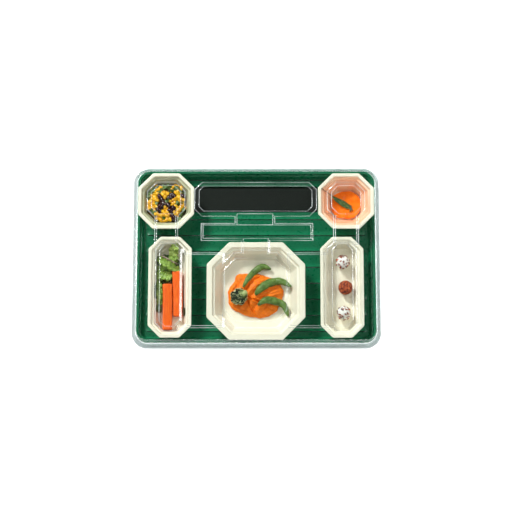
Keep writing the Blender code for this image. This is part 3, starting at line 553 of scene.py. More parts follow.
# Each bowl's painted tint: the colour its food throws onto the shaded inner wall, as painted bounce light.
for dish, bounce_tint in ((left_bowl, (0.36, 0.37, 0.19)), (right_bowl, (0.98, 0.46, 0.24))):
    bowl_finish = finish_with(dish.name + "_ivory", bounce_painted_look(bounce_tint))
    bowl = put(dish.name + "_moulding", dish_shape(dish), bowl_finish, "dish", dish.name)
    mark_inner_wall(bowl, dish)
    settle_normals(bowl)


# The mash
# Orange vegetable mash heaped on the plate: a low uneven dome, folded where one layer laps over the next,
# with a moist grainy surface.

MASH_OUTLINE = np.array([(0.0390, -0.0530), (0.0370, -0.0420), (0.0240, -0.0325), (0.0080, -0.0260),
                         (-0.0130, -0.0243), (-0.0300, -0.0265), (-0.0318, -0.0375), (-0.0395, -0.0465),
                         (-0.0412, -0.0590), (-0.0360, -0.0740), (-0.0180, -0.0830), (0.0020, -0.0880),
                         (0.0230, -0.0840), (0.0340, -0.0700)])
MASH_MIDDLE = np.array((-0.001, -0.0555))
MASH_HEIGHT = 0.0125
# Each fold: its course in plan, its depth and its half width.
MASH_FOLDS = [
    ([(-0.0150, -0.0570), (-0.0080, -0.0622), (0.0043, -0.0657), (0.0150, -0.0668)], 0.0034, 0.0011),
    ([(-0.0125, -0.0650), (-0.0085, -0.0745), (-0.0023, -0.0818), (0.0005, -0.0885)], 0.0026, 0.0013),
    ([(-0.0165, -0.0520), (-0.0101, -0.0407), (-0.0029, -0.0334), (0.0064, -0.0292)], 0.0022, 0.0013),
    ([(0.0050, -0.0612), (0.0218, -0.0553), (0.0372, -0.0495)], 0.0014, 0.0012),
    ([(0.0146, -0.0737), (0.0279, -0.0773), (0.0340, -0.0760)], 0.0013, 0.0010),
    ([(-0.0360, -0.0640), (-0.0290, -0.0730), (-0.0190, -0.0785)], 0.0014, 0.0012),
    ([(-0.0310, -0.0300), (-0.0270, -0.0420), (-0.0330, -0.0490)], 0.0016, 0.0014),
    ([(0.0012, -0.0395), (0.0080, -0.0372), (0.0170, -0.0405)], 0.0009, 0.0009),
    ([(0.0000, -0.0520), (0.0060, -0.0440), (0.0140, -0.0400)], 0.0008, 0.0010),
]
RIPPLE_WAVES = 12


def ripple(points, length, seed):
    """Smooth unevenness from about -1 to 1: a sum of sine waves of that length in random directions."""
    rng = np.random.default_rng(seed)
    course = rng.normal(size=(RIPPLE_WAVES, 3))
    pace = rng.uniform(0.7, 1.5, RIPPLE_WAVES) / np.linalg.norm(course, axis=1)
    course *= pace[:, None] * 2 * math.pi / length
    phase = rng.uniform(0, 2 * math.pi, RIPPLE_WAVES)
    return np.sin(points @ course.T + phase).sum(-1) / math.sqrt(RIPPLE_WAVES)


def distance_to(x, y, line):
    """Distance in plan from each point to a line of points: the least over its straight pieces."""
    spots = np.stack([x, y], -1)[..., None, :]
    start, along = np.array(line[:-1]), np.diff(np.array(line), axis=0)
    share = np.clip(((spots - start) * along).sum(-1) / (along ** 2).sum(-1), 0, 1)
    return np.linalg.norm(spots - start - share[..., None] * along, axis=-1).min(-1)


def mash_reach(angle):
    """How far the mash reaches from its middle in each direction: the outline's own distances, evened out
    over a quarter of a radian on either side by a raised cosine, with small lumps."""
    offset = MASH_OUTLINE - MASH_MIDDLE
    knots = np.arctan2(offset[:, 1], offset[:, 0]) % (2 * math.pi)
    order = np.argsort(knots)
    spread = np.linspace(-0.16, 0.16, 7)
    weights = np.cos(spread / 0.16 * math.pi / 2) + 0.2
    reach = np.interp((angle[..., None] + spread) % (2 * math.pi), knots[order],
                      np.hypot(*offset.T)[order], period=2 * math.pi)
    lumps = 0.0005 * np.sin(9 * angle + 1) + 0.0003 * np.sin(17 * angle) + 0.0002 * np.sin(31 * angle + 2)
    return (reach * weights).sum(-1) / weights.sum() + lumps


def mash_top(x, y):
    """The mash's height over the plate: a dome, 1 less the share of its reach to the power 2.8, to the
    power 0.6, with round ridges about one point and grooves with raised lips along the folds."""
    dx, dy = x - MASH_MIDDLE[0], y - MASH_MIDDLE[1]
    share = np.hypot(dx, dy) / mash_reach(np.arctan2(dy, dx))
    dome = np.clip(1 - share ** 2.8, 0, 1) ** 0.6
    sweep = np.hypot(x - 0.050, y + 0.100) / 0.0125
    height = MASH_HEIGHT * dome * (0.88 + 0.12 * np.sin(2 * math.pi * sweep + 0.6))
    for line, depth, width in MASH_FOLDS:
        apart = distance_to(x, y, line)
        groove = np.exp(-(apart / width) ** 2) - 0.45 * np.exp(-((apart - 2.2 * width) / width) ** 2)
        height = height - 0.8 * depth * groove * np.minimum(dome * 1.6, 1)
    return np.maximum(height, 0)


mash_angle = np.linspace(0, 2 * math.pi, 220, endpoint=False)
mash_share = np.concatenate([[0.1, 0.6, 0.955, 0.985], 1 - (np.arange(84) / 84) ** 1.25 * 0.995])[:, None]
mash_low = PLATE_FLOOR_Z + GAP
mash_x = MASH_MIDDLE[0] + mash_share * mash_reach(mash_angle) * np.cos(mash_angle)
mash_y = MASH_MIDDLE[1] + mash_share * mash_reach(mash_angle) * np.sin(mash_angle)
mash_rise = np.maximum(mash_top(mash_x, mash_y), 0.0013)
mash_rise[:4] = np.array((0, 0, 0, 0.0004))[:, None]
mash_rings = np.stack([mash_x, mash_y, mash_low + mash_rise], -1)
mash_rings[4:, :, 2] += (0.00030 * ripple(mash_rings[4:], 0.006, 1)
                         + 0.00022 * ripple(mash_rings[4:], 0.0024, 2)
                         + 0.00013 * ripple(mash_rings[4:], 0.0012, 3))

mash_orange = mottled("mash_orange", (420, 6, 0.65), (0.28, (0.68, 0.090, 0.002)),
                      (0.45, (0.86, 0.172, 0.003)), (0.75, (0.92, 0.255, 0.009)),
                      rough=0.45, specular=0.28, bumps=(0.45, 0.0007))
put("mash_heap", tube(mash_rings), mash_orange, "mash", "mash")


# The pods
# Three green pods cooked whole and laid curving over the mash: plump, pointed at both ends, with a raised
# seam along the outer edge and the peas showing as faint swellings.

# Each pod: its course, with the least height over the plate, and its half width.
PODS = [
    ([(-0.0193, -0.0458, 0.0), (-0.0094, -0.0296, 0.0), (0.0016, -0.0184, 0.0), (0.0104, -0.0142, 0.0),
      (0.0214, -0.0180, 0.0)], 0.0047),
    ([(-0.0017, -0.0570, 0.0), (0.0059, -0.0486, 0.0), (0.0180, -0.0397, 0.0), (0.0345, -0.0363, 0.0075),
      (0.0505, -0.0445, 0.0105)], 0.0058),
    ([(0.0021, -0.0716, 0.0), (0.0125, -0.0650, 0.0), (0.0235, -0.0650, 0.0), (0.0388, -0.0705, 0.0065),
      (0.0455, -0.0875, 0.0110)], 0.0054),
]
POD_STEPS = 76
POD_SIDES = 30


def smooth_path(points, count):
    """Points at even steps along a smooth curve through the given ones. Each stretch is a cubic whose
    slope at a knot is half the step between the knots on either side of it."""
    knots = np.asarray(points, float)
    knots = np.concatenate([[2 * knots[0] - knots[1]], knots, [2 * knots[-1] - knots[-2]]])
    t = np.linspace(0, len(knots) - 3, count)
    i = np.minimum(t.astype(int), len(knots) - 4)
    t = (t - i)[:, None]
    a, b, c, d = (knots[i + k] for k in range(4))
    return 0.5 * (2 * b + (c - a) * t + (2 * a - 5 * b + 4 * c - d) * t ** 2
                  + (3 * b - a - 3 * c + d) * t ** 3)


def frames_along(path):
    """For each point of a path, the level direction across it and the direction that lifts off it."""
    along = np.gradient(path, axis=0)
    across = np.cross(along, (0, 0, 1))
    across /= np.linalg.norm(across, axis=1, keepdims=True)
    lift = np.cross(across, along)
    return across[:, None], (lift / np.linalg.norm(lift, axis=1, keepdims=True))[:, None]


def oval_rings(path, widths, heights, sides):
    """Ovals across a path: half widths and half heights are one for each point, or one for each point and
    side."""
    across, lift = frames_along(path)
    turn = np.linspace(0, 2 * math.pi, sides, endpoint=False)
    widths, heights = (np.asarray(w, float).reshape(len(path), -1) for w in (widths, heights))
    return (path[:, None] + across * (widths * np.cos(turn))[..., None]
            + lift * (heights * np.sin(turn))[..., None])


def pod_shape(route, width, seed):
    """Ovals whose size is the sine of the length to the power 0.45, swollen by 4% over each pea, with a
    seam 9% proud on one side and a faint one 3% proud on top. It lies on the plate or half sunk in the
    mash."""
    path = smooth_path(route, POD_STEPS)
    ground = mash_top(path[:, 0], path[:, 1])
    window = np.hanning(25) / np.hanning(25).sum()
    ground = np.convolve(np.pad(ground, 12, mode="edge"), window, mode="valid")
    height = width * 0.92
    path[:, 2] = PLATE_FLOOR_Z + GAP * 2 + np.maximum(np.maximum(path[:, 2], ground + height * 0.45), height)
    t = np.linspace(0, 1, POD_STEPS)
    size = np.maximum(np.sin(math.pi * np.clip(t, 0.012, 0.988)) ** 0.45, 0.12)
    size = size * (1 + 0.04 * np.sin(12 * math.pi * t))
    turn = np.linspace(0, 2 * math.pi, POD_SIDES, endpoint=False)
    seam = 1 + 0.09 * np.exp(-((turn - math.pi) / 0.20) ** 2) + 0.03 * np.exp(-((turn - 1.9) / 0.3) ** 2)
    wide, high = size[:, None] * width * seam, size[:, None] * height * np.ones_like(seam)
    rings = oval_rings(path, wide, high, POD_SIDES)
    return tube(rings + 0.00012 * ripple(rings, 0.005, seed)[..., None])


def pod_look(tree, shader, where):
    """Cooked green skin: darker in patches, with pale flecks and a waxy shine."""
    patch = speckle(tree, where, 120, 4, 0.6)
    flesh = ramp(tree, patch, (0.3, (0.060, 0.120, 0.018)), (0.6, (0.125, 0.225, 0.042)),
                 (0.85, (0.230, 0.330, 0.105)))
    fleck = ramp(tree, speckle(tree, where, 700, 3), (0.62, (0, 0, 0)), (0.72, (1, 1, 1)))
    flecked = blend(tree, product(tree, fleck, 0.55), flesh, (0.55, 0.62, 0.36, 1))
    tree.links.new(flecked, shader.inputs["Base Color"])
    shader.inputs["Roughness"].default_value = 0.45
    shader.inputs["Specular IOR Level"].default_value = 0.35
    relief(tree, shader, speckle(tree, where, 600, 4), 0.45, 0.0005)


pod_green = finish_with("pod_green", pod_look)
for number, (route, width) in enumerate(PODS, 1):
    put(f"pod_{number}_skin", pod_shape(route, width, number), pod_green, "pod", f"pod_{number}")


# The broccoli
# One small floret lying in the mash: a short pale stalk that widens under the head, and a dome of tight
# round buds in clusters, dark with pale ones between.

BROCCOLI_CENTRE = np.array((-0.0250, -0.0594, PLATE_FLOOR_Z + 0.0125))
BROCCOLI_RADIUS = 0.0107
BROCCOLI_SQUASH = np.array((1, 1, 0.8))
BROCCOLI_STALK = (0, 0, PLATE_FLOOR_Z) + np.array([(-0.0143, -0.0528, 0.0172), (-0.0183, -0.0557, 0.0184),
                                                   (-0.0236, -0.0592, 0.0150)])
GOLDEN_TURN = 2.39996


def ball(rings, sides):
    """A ball of radius 1: circles of the sine of the angle from its pole, closed at both poles."""
    polar = np.linspace(0, math.pi, rings + 2)[1:-1, None]
    turn = np.linspace(0, 2 * math.pi, sides, endpoint=False)
    circles = np.stack([np.sin(polar) * np.cos(turn), np.sin(polar) * np.sin(turn),
                        np.cos(polar) + 0 * turn], -1)
    points, quads, fans = tube(circles)
    points[-2:] = (0, 0, 1), (0, 0, -1)
    return points, quads, fans


def spread_over(count, low=-1.0):
    """Directions spread evenly over a ball above a height: each a golden turn on from the last, a step
    lower."""
    z = 1 - (1 - low) * (np.arange(count) + 0.5) / count
    turn = GOLDEN_TURN * np.arange(count)
    return np.stack([np.sqrt(1 - z * z) * np.cos(turn), np.sqrt(1 - z * z) * np.sin(turn), z], -1)


def facing(normals, spin):
    """Turns that stand a shape's own Z along each normal, after a spin about it."""
    normals = normals / np.linalg.norm(normals, axis=1, keepdims=True)
    side = np.cross(normals, np.where(np.abs(normals[:, 2:]) < 0.9, (0.0, 0.0, 1.0), (1.0, 0.0, 0.0)))
    side /= np.linalg.norm(side, axis=1, keepdims=True)
    first = side * np.cos(spin)[:, None] + np.cross(normals, side) * np.sin(spin)[:, None]
    return np.stack([first, np.cross(normals, first), normals], -1)


def scattered(shape, spots, turns, sizes):
    """Copies of one small shape, each sized along its own axes, turned and moved to its spot, all at
    once."""
    points, quads, triangles = shape
    placed = np.einsum("nij,nmj->nmi", turns, points[None] * sizes[:, None]) + spots[:, None]
    shift = (np.arange(len(spots)) * len(points))[:, None, None]
    return placed.reshape(-1, 3), (quads + shift).reshape(-1, 4), (triangles + shift).reshape(-1, 3)


def broccoli_buds():
    """Fourteen clusters over the upper part of a flattened ball, each itself a ball of buds; a bud inside
    another cluster or the ball is left out. Nearly half are pale, smaller and stand a little higher."""
    rng = np.random.default_rng(8)
    heart = spread_over(14, -0.25) * BROCCOLI_SQUASH * BROCCOLI_RADIUS * 0.74
    spots, normals = [], []
    for k, centre in enumerate(heart):
        out = spread_over(62)
        radius = BROCCOLI_RADIUS * (0.38 + 0.05 * rng.random())
        where = centre + out * radius
        near = np.linalg.norm(where[:, None] - np.delete(heart, k, 0), axis=2).min(1)
        deep = np.linalg.norm(where / BROCCOLI_SQUASH, axis=1) <= BROCCOLI_RADIUS * 0.78
        keep = (near > radius * 0.93) & ~deep
        spots.append(where[keep])
        normals.append(out[keep])
    spots, normals = np.concatenate(spots), np.concatenate(normals)
    size = rng.uniform(0.00065, 0.00105, (len(spots), 1)) * (1, 1, 1.15)
    turns = facing(normals, rng.uniform(0, 6, len(spots)))
    pale = rng.random(len(spots)) < 0.44
    spots, raised = spots + BROCCOLI_CENTRE, spots + 0.0005 * normals + BROCCOLI_CENTRE
    return (scattered(ball(4, 6), spots[~pale], turns[~pale], size[~pale]),
            scattered(ball(4, 6), raised[pale], turns[pale], 0.75 * size[pale]))


stalk_half = np.linspace(0.0029, 0.0050, 16) * (1 + 0.05 * np.sin(np.arange(16) * 1.9))
stalk_lobes = 1 + 0.07 * np.cos(5 * np.linspace(0, 2 * math.pi, 22, endpoint=False))
stalk_wide = stalk_half[:, None] * stalk_lobes
stalk_rings = oval_rings(smooth_path(BROCCOLI_STALK, 16), stalk_wide, 0.9 * stalk_wide, 22)
heart_points, heart_quads, heart_fans = ball(14, 26)
heart_points = heart_points * BROCCOLI_SQUASH * BROCCOLI_RADIUS * 0.93
heart_points = heart_points * (1 + 0.05 * ripple(heart_points, 0.008, 5))[:, None] + BROCCOLI_CENTRE


def bud_look(pale, dark):
    """Buds of a mottled green, paler towards the stalk."""
    def look(tree, shader, where):
        tone = ramp(tree, speckle(tree, where, 500, 3, 0.6), (0.35, dark), (0.65, pale))
        away = add(tree, "VectorMath", {0: where, 1: tuple(BROCCOLI_STALK[1])}, operation="DISTANCE")
        near = span(tree, away.outputs["Value"], (0.0040, 0.0085), (0.7, 0.0))
        tree.links.new(blend(tree, near, tone, (0.22, 0.33, 0.09, 1)), shader.inputs["Base Color"])
        shader.inputs["Roughness"].default_value = 0.6
        shader.inputs["Specular IOR Level"].default_value = 0.3
    return look


dark_green = finish_with("broccoli_dark", bud_look((0.014, 0.036, 0.016), (0.003, 0.009, 0.004)))
pale_green = finish_with("broccoli_pale", bud_look((0.80, 0.84, 0.48), (0.42, 0.50, 0.20)))
stalk_flesh = mottled("broccoli_stalk", (500, 4), (0.3, (0.26, 0.36, 0.10)), (0.7, (0.50, 0.56, 0.24)),
                      rough=0.5, bumps=(0.2, 0.0004))
dark_buds, pale_buds = broccoli_buds()
put("broccoli_stalk", tube(stalk_rings), stalk_flesh, "broccoli", "broccoli")
put("broccoli_heart", (heart_points, heart_quads, heart_fans), dark_green, "broccoli", "broccoli")
put("broccoli_buds", dark_buds, dark_green, "broccoli", "broccoli")
put("broccoli_pale_buds", pale_buds, pale_green, "broccoli", "broccoli")


# The carrot batons
# Two batons cut from a large carrot, with edges worn round by cooking. They lie loose, side by side along
# the left dish, one a little nearer.

# Each baton: its middle, width, height and length, and its turn in degrees.
CARROTS = [((-0.1276, -0.0733), 0.0138, 0.0128, 0.0660, 0.6),
           ((-0.1133, -0.0545), 0.0136, 0.0118, 0.0655, 1.4)]
CARROT_EDGE = 0.0013


def baton_shape(middle, width, height, length, turn, seed):
    """Rounded rectangles, each a circle with its sine and cosine drawn out to the power 0.3, run from the
    middle of one end face over a quarter-round edge and along to the other end."""
    edge = np.linspace(0, math.pi / 2, 6)
    inset = np.concatenate([[0.85, 0.5], CARROT_EDGE * (1 - np.sin(edge)) / (height / 2), np.zeros(38)])
    reach = np.concatenate([np.full(2, length / 2), length / 2 - CARROT_EDGE * (1 - np.cos(edge)),
                            np.linspace(length / 2 - 0.003, 0, 39)[:-1]])
    inset, reach = np.concatenate([inset, [0], inset[::-1]]), np.concatenate([reach, [0], -reach[::-1]])
    angle = np.linspace(0, 2 * math.pi, 44, endpoint=False)
    side, up = (np.sign(wave) * np.abs(wave) ** 0.3 for wave in (np.cos(angle), np.sin(angle)))
    taper = ((1 + 0.04 * reach / length) * (1 - inset))[:, None]
    rings = np.stack([taper * side * width / 2, reach[:, None] + 0 * side, taper * up * height / 2], -1)
    rings[..., 0] += 0.0004 * np.sin(rings[..., 1] * 60 + seed)
    rings = rings + 0.00013 * ripple(rings * (1, 0.35, 1), 0.006, seed)[..., None]
    swing = math.radians(turn)
    across, along = rings[..., 0].copy(), rings[..., 1].copy()
    rings[..., 0] = middle[0] + across * math.cos(swing) - along * math.sin(swing)
    rings[..., 1] = middle[1] + across * math.sin(swing) + along * math.cos(swing)
    rings[..., 2] += PLATE_FLOOR_Z + GAP + height * 0.52
    return tube(rings)


def carrot_look(tree, shader, where):
    """Moist orange flesh with long fine fibres and a few paler streaks."""
    long_way = add(tree, "Mapping", {"Vector": where, "Scale": (1.0, 0.12, 1.0)}).outputs["Vector"]
    fibre = speckle(tree, long_way, 700, 5, 0.6)
    tree.links.new(ramp(tree, fibre, (0.3, (0.76, 0.085, 0.004)), (0.55, (0.86, 0.128, 0.006)),
                        (0.8, (0.92, 0.22, 0.022))), shader.inputs["Base Color"])
    shader.inputs["Roughness"].default_value = 0.4
    shader.inputs["Specular IOR Level"].default_value = 0.3
    relief(tree, shader, fibre, 0.25, 0.0004)


carrot_orange = finish_with("carrot_orange", carrot_look)
for number, (middle, width, height, length, turn) in enumerate(CARROTS, 1):
    put(f"carrot_{number}_baton", baton_shape(middle, width, height, length, turn, number), carrot_orange,
        "carrot", f"carrot_{number}")


# The salad leaves
# Torn leaves of green salad tumbled into the far end of the long dish and down its left side, lying over
# each other and leaning on its walls, with one reddish stem across them.

# Each leaf: the course of its rib, its half width, its cup and its green.
LEAVES = [
    ([(-0.1160, 0.0175, 0.0262), (-0.1185, 0.0090, 0.0215), (-0.1195, -0.0030, 0.0170),
      (-0.1175, -0.0120, 0.0140)], 0.0068, 0.0018, "pale"),
    ([(-0.1118, 0.0125, 0.0262), (-0.1160, 0.0118, 0.0250), (-0.1222, 0.0150, 0.0235)],
     0.0042, 0.0012, "pale"),
    ([(-0.1135, -0.0010, 0.0185), (-0.1200, -0.0035, 0.0205), (-0.1262, -0.0010, 0.0190)],
     0.0036, 0.0010, "bright"),
    ([(-0.1300, 0.0040, 0.0118), (-0.1330, -0.0110, 0.0122), (-0.1310, -0.0270, 0.0128),
      (-0.1330, -0.0380, 0.0125)], 0.0092, 0.0012, "deep"),
    ([(-0.1180, -0.0020, 0.0112), (-0.1165, -0.0120, 0.0120), (-0.1180, -0.0195, 0.0118)],
     0.0070, 0.0012, "deep"),
    ([(-0.1440, 0.0005, 0.0150), (-0.1428, -0.0065, 0.0172), (-0.1385, -0.0120, 0.0158)],
     0.0042, 0.0012, "deep"),
    ([(-0.1428, -0.0150, 0.0140), (-0.1340, -0.0168, 0.0165), (-0.1230, -0.0195, 0.0150)],
     0.0050, 0.0014, "bright"),
    ([(-0.1425, -0.0205, 0.0160), (-0.1365, -0.0262, 0.0195), (-0.1290, -0.0288, 0.0200),
      (-0.1225, -0.0250, 0.0165)], 0.0070, 0.0024, "bright"),
    ([(-0.1422, -0.0030, 0.0180), (-0.1340, -0.0082, 0.0220), (-0.1230, -0.0148, 0.0212),
      (-0.1100, -0.0208, 0.0165)], 0.0058, 0.0024, "bright"),
    ([(-0.1245, -0.0225, 0.0138), (-0.1222, -0.0300, 0.0142), (-0.1215, -0.0350, 0.0130)],
     0.0042, 0.0014, "deep"),
    ([(-0.1330, -0.0310, 0.0140), (-0.1290, -0.0335, 0.0148), (-0.1235, -0.0325, 0.0140)],
     0.0030, 0.0010, "pale"),
    ([(-0.1405, -0.0280, 0.0150), (-0.1415, -0.0430, 0.0168), (-0.1388, -0.0590, 0.0155),
      (-0.1405, -0.0725, 0.0125)], 0.0056, 0.0020, "bright"),
    ([(-0.1375, -0.0350, 0.0125), (-0.1385, -0.0450, 0.0132), (-0.1362, -0.0545, 0.0122)],
     0.0044, 0.0012, "deep"),
    ([(-0.1425, -0.0480, 0.0182), (-0.1398, -0.0580, 0.0190), (-0.1400, -0.0660, 0.0170)],
     0.0032, 0.0012, "pale"),
    ([(-0.1428, -0.0690, 0.0130), (-0.1405, -0.0755, 0.0158), (-0.1382, -0.0810, 0.0122)],
     0.0042, 0.0020, "deep"),
]
# Deep green leaves up against the walls: the rib's course, half width and lean.
WALL_LEAVES = [
    ([(-0.1448, -0.0415, 0.0225), (-0.1447, -0.0500, 0.0235), (-0.1445, -0.0615, 0.0220)], 0.0024, 0.0068),
    ([(-0.1028, -0.0755, 0.0195), (-0.1018, -0.0810, 0.0220), (-0.1015, -0.0868, 0.0215)], 0.0021, -0.0060),
]
LEAF_THICKNESS = 0.0005


def leaf_rings(route, half, cup, seed, lean=0.0):
    """Loops across a torn leaf, out along its upper face and back along its lower. The width is the sine
    of the length to the power 0.5, notched on each side by three sine waves of its own. The blade rises
    by the cup times the square of the distance from its rib, leans up to one side, is frilled by waves
    that grow as the cube of that distance, and dips along the rib and the slanting side veins."""
    path = smooth_path(route, 60)
    across, _ = frames_along(path)
    t = np.linspace(0, 1, len(path))[:, None]
    s = np.linspace(-1, 1, 27)[None]
    side = np.sign(s)
    width = half * (0.14 + 0.86 * np.sin(math.pi * np.clip(0.05 + 0.90 * t, 0, 1)) ** 0.5)
    width = width * (1 + 0.15 * np.sin(13 * t + seed + 2 * side) + 0.12 * np.sin(31 * t + 2 * seed + side)
                     + 0.08 * np.sin(63 * t + 3 * seed - side))
    frill = half * np.abs(s) ** 3 * (0.28 * np.sin(34 * t + 2.4 * seed + 1.3 * side)
                                     + 0.12 * np.sin(71 * t + seed))
    from_vein = (t * 9 + np.abs(s) * 1.1) % 1 - 0.5
    vein = np.exp(-(s / 0.09) ** 2) + 0.5 * np.exp(-(from_vein / 0.13) ** 2) * np.abs(s)
    height = cup * s ** 2 + lean * s + frill - 0.0004 * vein + 0.07 * half * np.sin(9 * t + seed)
    top = path[:, None] + across * (width * s)[..., None]
    top[..., 2] += height
    top += 0.0004 * ripple(top, 0.0035, seed)[..., None]
    low = top.copy()
    low[..., 2] -= LEAF_THICKNESS * (1.1 - s ** 2)
    return np.concatenate([top, low[:, ::-1]], 1)


def kept_inside(points, dish):
    """The points, each brought in to just clear of the dish's inner wall at its own height."""
    clear = dish.inner_inset(points[..., 2] - DISH_Z) + 0.0007
    kept = points.copy()
    for axis in (0, 1):
        most = dish.half[axis] - clear
        kept[..., axis] = dish.centre[axis] + np.clip(points[..., axis] - dish.centre[axis], -most, most)
    return kept


def leaf_finish(name, dark, middle, light):
    """A salad leaf's material: three greens in soft patches with a net of paler veins."""
    def look(tree, shader, where):
        patch = ramp(tree, speckle(tree, where, 170, 4, 0.6), (0.3, dark), (0.5, middle), (0.75, light))
        net = add(tree, "TexVoronoi", {"Vector": where, "Scale": 420}, feature="DISTANCE_TO_EDGE")
        veins = span(tree, net.outputs["Distance"], (0.0, 0.08), (0.35, 0.0))
        vein_green = (*(min(1, c * 1.5 + 0.03) for c in light), 1)
        tree.links.new(blend(tree, veins, patch, vein_green), shader.inputs["Base Color"])
        shader.inputs["Roughness"].default_value = 0.45
        relief(tree, shader, speckle(tree, where, 450, 4), 0.25, 0.0004)
    return finish_with(name, look)


LEAF_GREENS = {"pale": ((0.18, 0.27, 0.035), (0.31, 0.42, 0.075), (0.50, 0.59, 0.20)),
               "bright": ((0.070, 0.135, 0.012), (0.19, 0.31, 0.035), (0.39, 0.53, 0.12)),
               "deep": ((0.022, 0.045, 0.007), (0.060, 0.115, 0.018), (0.16, 0.24, 0.06))}
leaf_materials = {tone: leaf_finish(f"leaf_{tone}", *greens) for tone, greens in LEAF_GREENS.items()}
for tone, material in leaf_materials.items():
    shapes = [tube(kept_inside(leaf_rings(route, half, cup, seed), left_dish))
              for seed, (route, half, cup, green) in enumerate(LEAVES, 1) if green == tone]
    if tone == "deep":
        shapes += [tube(kept_inside(leaf_rings(route, half, 0.0, seed, lean), left_dish))
                   for seed, (route, half, lean) in enumerate(WALL_LEAVES, 30)]
    put(f"salad_leaves_{tone}", joined(*shapes), material, "greens", "greens")

stem_path = smooth_path([(-0.1370, 0.0010, 0.0210), (-0.1290, -0.0037, 0.0243), (-0.1223, -0.0077, 0.0240),
                         (-0.1120, -0.0122, 0.0200)], 26)
stem_half = np.interp(np.arange(26), (0, 3, 22, 25), (0.0004, 0.0013, 0.0010, 0.0004))


def stem_finish(name):
    """Reddish brown, pale in places."""
    return mottled(name, (260, 3), (0.35, (0.13, 0.07, 0.045)), (0.65, (0.42, 0.33, 0.25)), rough=0.5)


put("salad_stem", tube(oval_rings(stem_path, stem_half, stem_half, 12)), stem_finish("salad_stem"), "greens",
    "greens")


# The corn salad
# Loose sweetcorn kernels heaped in the left bowl with dark beans and bits of green leaf, more of the leaf
# round the far edge. A rough core lies under them, near black to brown: painted shade in the gaps between
# kernels.

SALAD_EDGE_Z = 0.0205
SALAD_RISE = 0.0058
SALAD_REACH = 0.0278
KERNEL_COUNT = 330
KERNEL_REACH = 0.0262
BEAN_SPOTS = np.array([(-0.1388, 0.0850), (-0.1345, 0.0742), (-0.1362, 0.0797), (-0.1205, 0.0872),
                       (-0.1258, 0.0830), (-0.1232, 0.0848), (-0.1412, 0.0654), (-0.1376, 0.0702),
                       (-0.1196, 0.0676), (-0.1238, 0.0640), (-0.1068, 0.0868), (-0.1272, 0.0722),
                       (-0.1185, 0.0522), (-0.1205, 0.0562)])
BEAN_TURNS = np.array((1.2, 1.7, 0.4, 0.8, -0.3, 0.2, 0.8, 1.0, 0.3, 1.1, 1.5, 0.6, 1.2, 0.2))
GREEN_SPOTS = np.array([(-0.1470, 0.0975), (-0.1432, 0.0988), (-0.1490, 0.0945), (-0.1287, 0.1012),
                        (-0.1330, 0.1000), (-0.1255, 0.0990), (-0.1135, 0.0961), (-0.1165, 0.0985),
                        (-0.1105, 0.0935), (-0.1545, 0.0875), (-0.1525, 0.0920), (-0.1550, 0.0830),
                        (-0.1205, 0.0935), (-0.1129, 0.0749), (-0.1145, 0.0775), (-0.1108, 0.0546),
                        (-0.1247, 0.0934), (-0.1292, 0.0790), (-0.1476, 0.0615), (-0.1062, 0.0782),
                        (-0.1050, 0.0669), (-0.1505, 0.0650), (-0.1085, 0.0600), (-0.1065, 0.0630),
                        (-0.1390, 0.0940), (-0.1055, 0.0900), (-0.1150, 0.0505), (-0.1440, 0.0760),
                        (-0.1325, 0.0540)])


def salad_top(x, y):
    """The heap's height: level at the bowl's wall and rising as the square of the distance in from it."""
    away = np.maximum(np.abs(x - left_bowl.centre[0]), np.abs(y - left_bowl.centre[1]))
    return DISH_Z + SALAD_EDGE_Z + SALAD_RISE * (1 - np.clip(away / SALAD_REACH, 0, 1) ** 2)


def salad_core():
    """The bowl's own octagons from its floor up its wall to the heap's edge, then in over the heap."""
    wall_z = np.array((DISH_FLOOR + 0.0016, 0.010, SALAD_EDGE_Z - 0.002))
    wall = [(left_bowl.inner_inset(z) + 0.0006, z) for z in wall_z]
    inset = np.linspace(left_bowl.inner_inset(SALAD_EDGE_Z) + 0.0008, 0.034, 9)
    dome = SALAD_EDGE_Z - 0.0016 + SALAD_RISE * (1 - ((left_bowl.half[0] - inset) / SALAD_REACH) ** 2)
    rings = left_bowl.rings([(left_bowl.foot + 0.004, DISH_FLOOR + GAP), *wall, *zip(inset, dome)], 0.0016)
    rings[4:, :, 2] += 0.0004 * ripple(rings[4:], 0.005, 9)
    return tube(rings)


def kernel():
    """A corn kernel about 1 long each way: a ball squared off at its crown and drawn in to its tip."""
    points, quads, fans = ball(7, 9)
    points = np.sign(points) * np.abs(points) ** 0.8
    waist = 0.62 + 0.38 * step((points[:, 0] + 1) / 1.4)
    return points * np.stack([np.ones_like(waist), waist, waist], -1) * (1, 0.80, 0.62), quads, fans


def bean():
    """A kidney bean about 1 long: a ball half as wide as long, bent along its length as a parabola."""
    points, quads, fans = ball(9, 12)
    points = points * (1, 0.62, 0.58)
    points[:, 1] += 0.30 * points[:, 0] ** 2 - 0.1
    return points, quads, fans


def leaf_bit(seed):
    """A torn scrap of leaf about 1 across: a disc with an uneven edge, bent like a saddle."""
    polar, turn = np.linspace(0.12, 1, 6)[:, None], np.linspace(0, 2 * math.pi, 18, endpoint=False)
    edge = 1 + 0.16 * np.sin(3 * turn + seed) + 0.10 * np.sin(7 * turn + 2 * seed)
    x, y = polar * edge * np.cos(turn), 0.72 * polar * edge * np.sin(turn)
    top = np.stack([x, y, 0.35 * x * y + 0.25 * x ** 2 + 0.06 * np.sin(9 * x + seed)], -1)
    low = top - (0, 0, 0.10)
    return tube(np.concatenate([top, low[::-1]]))


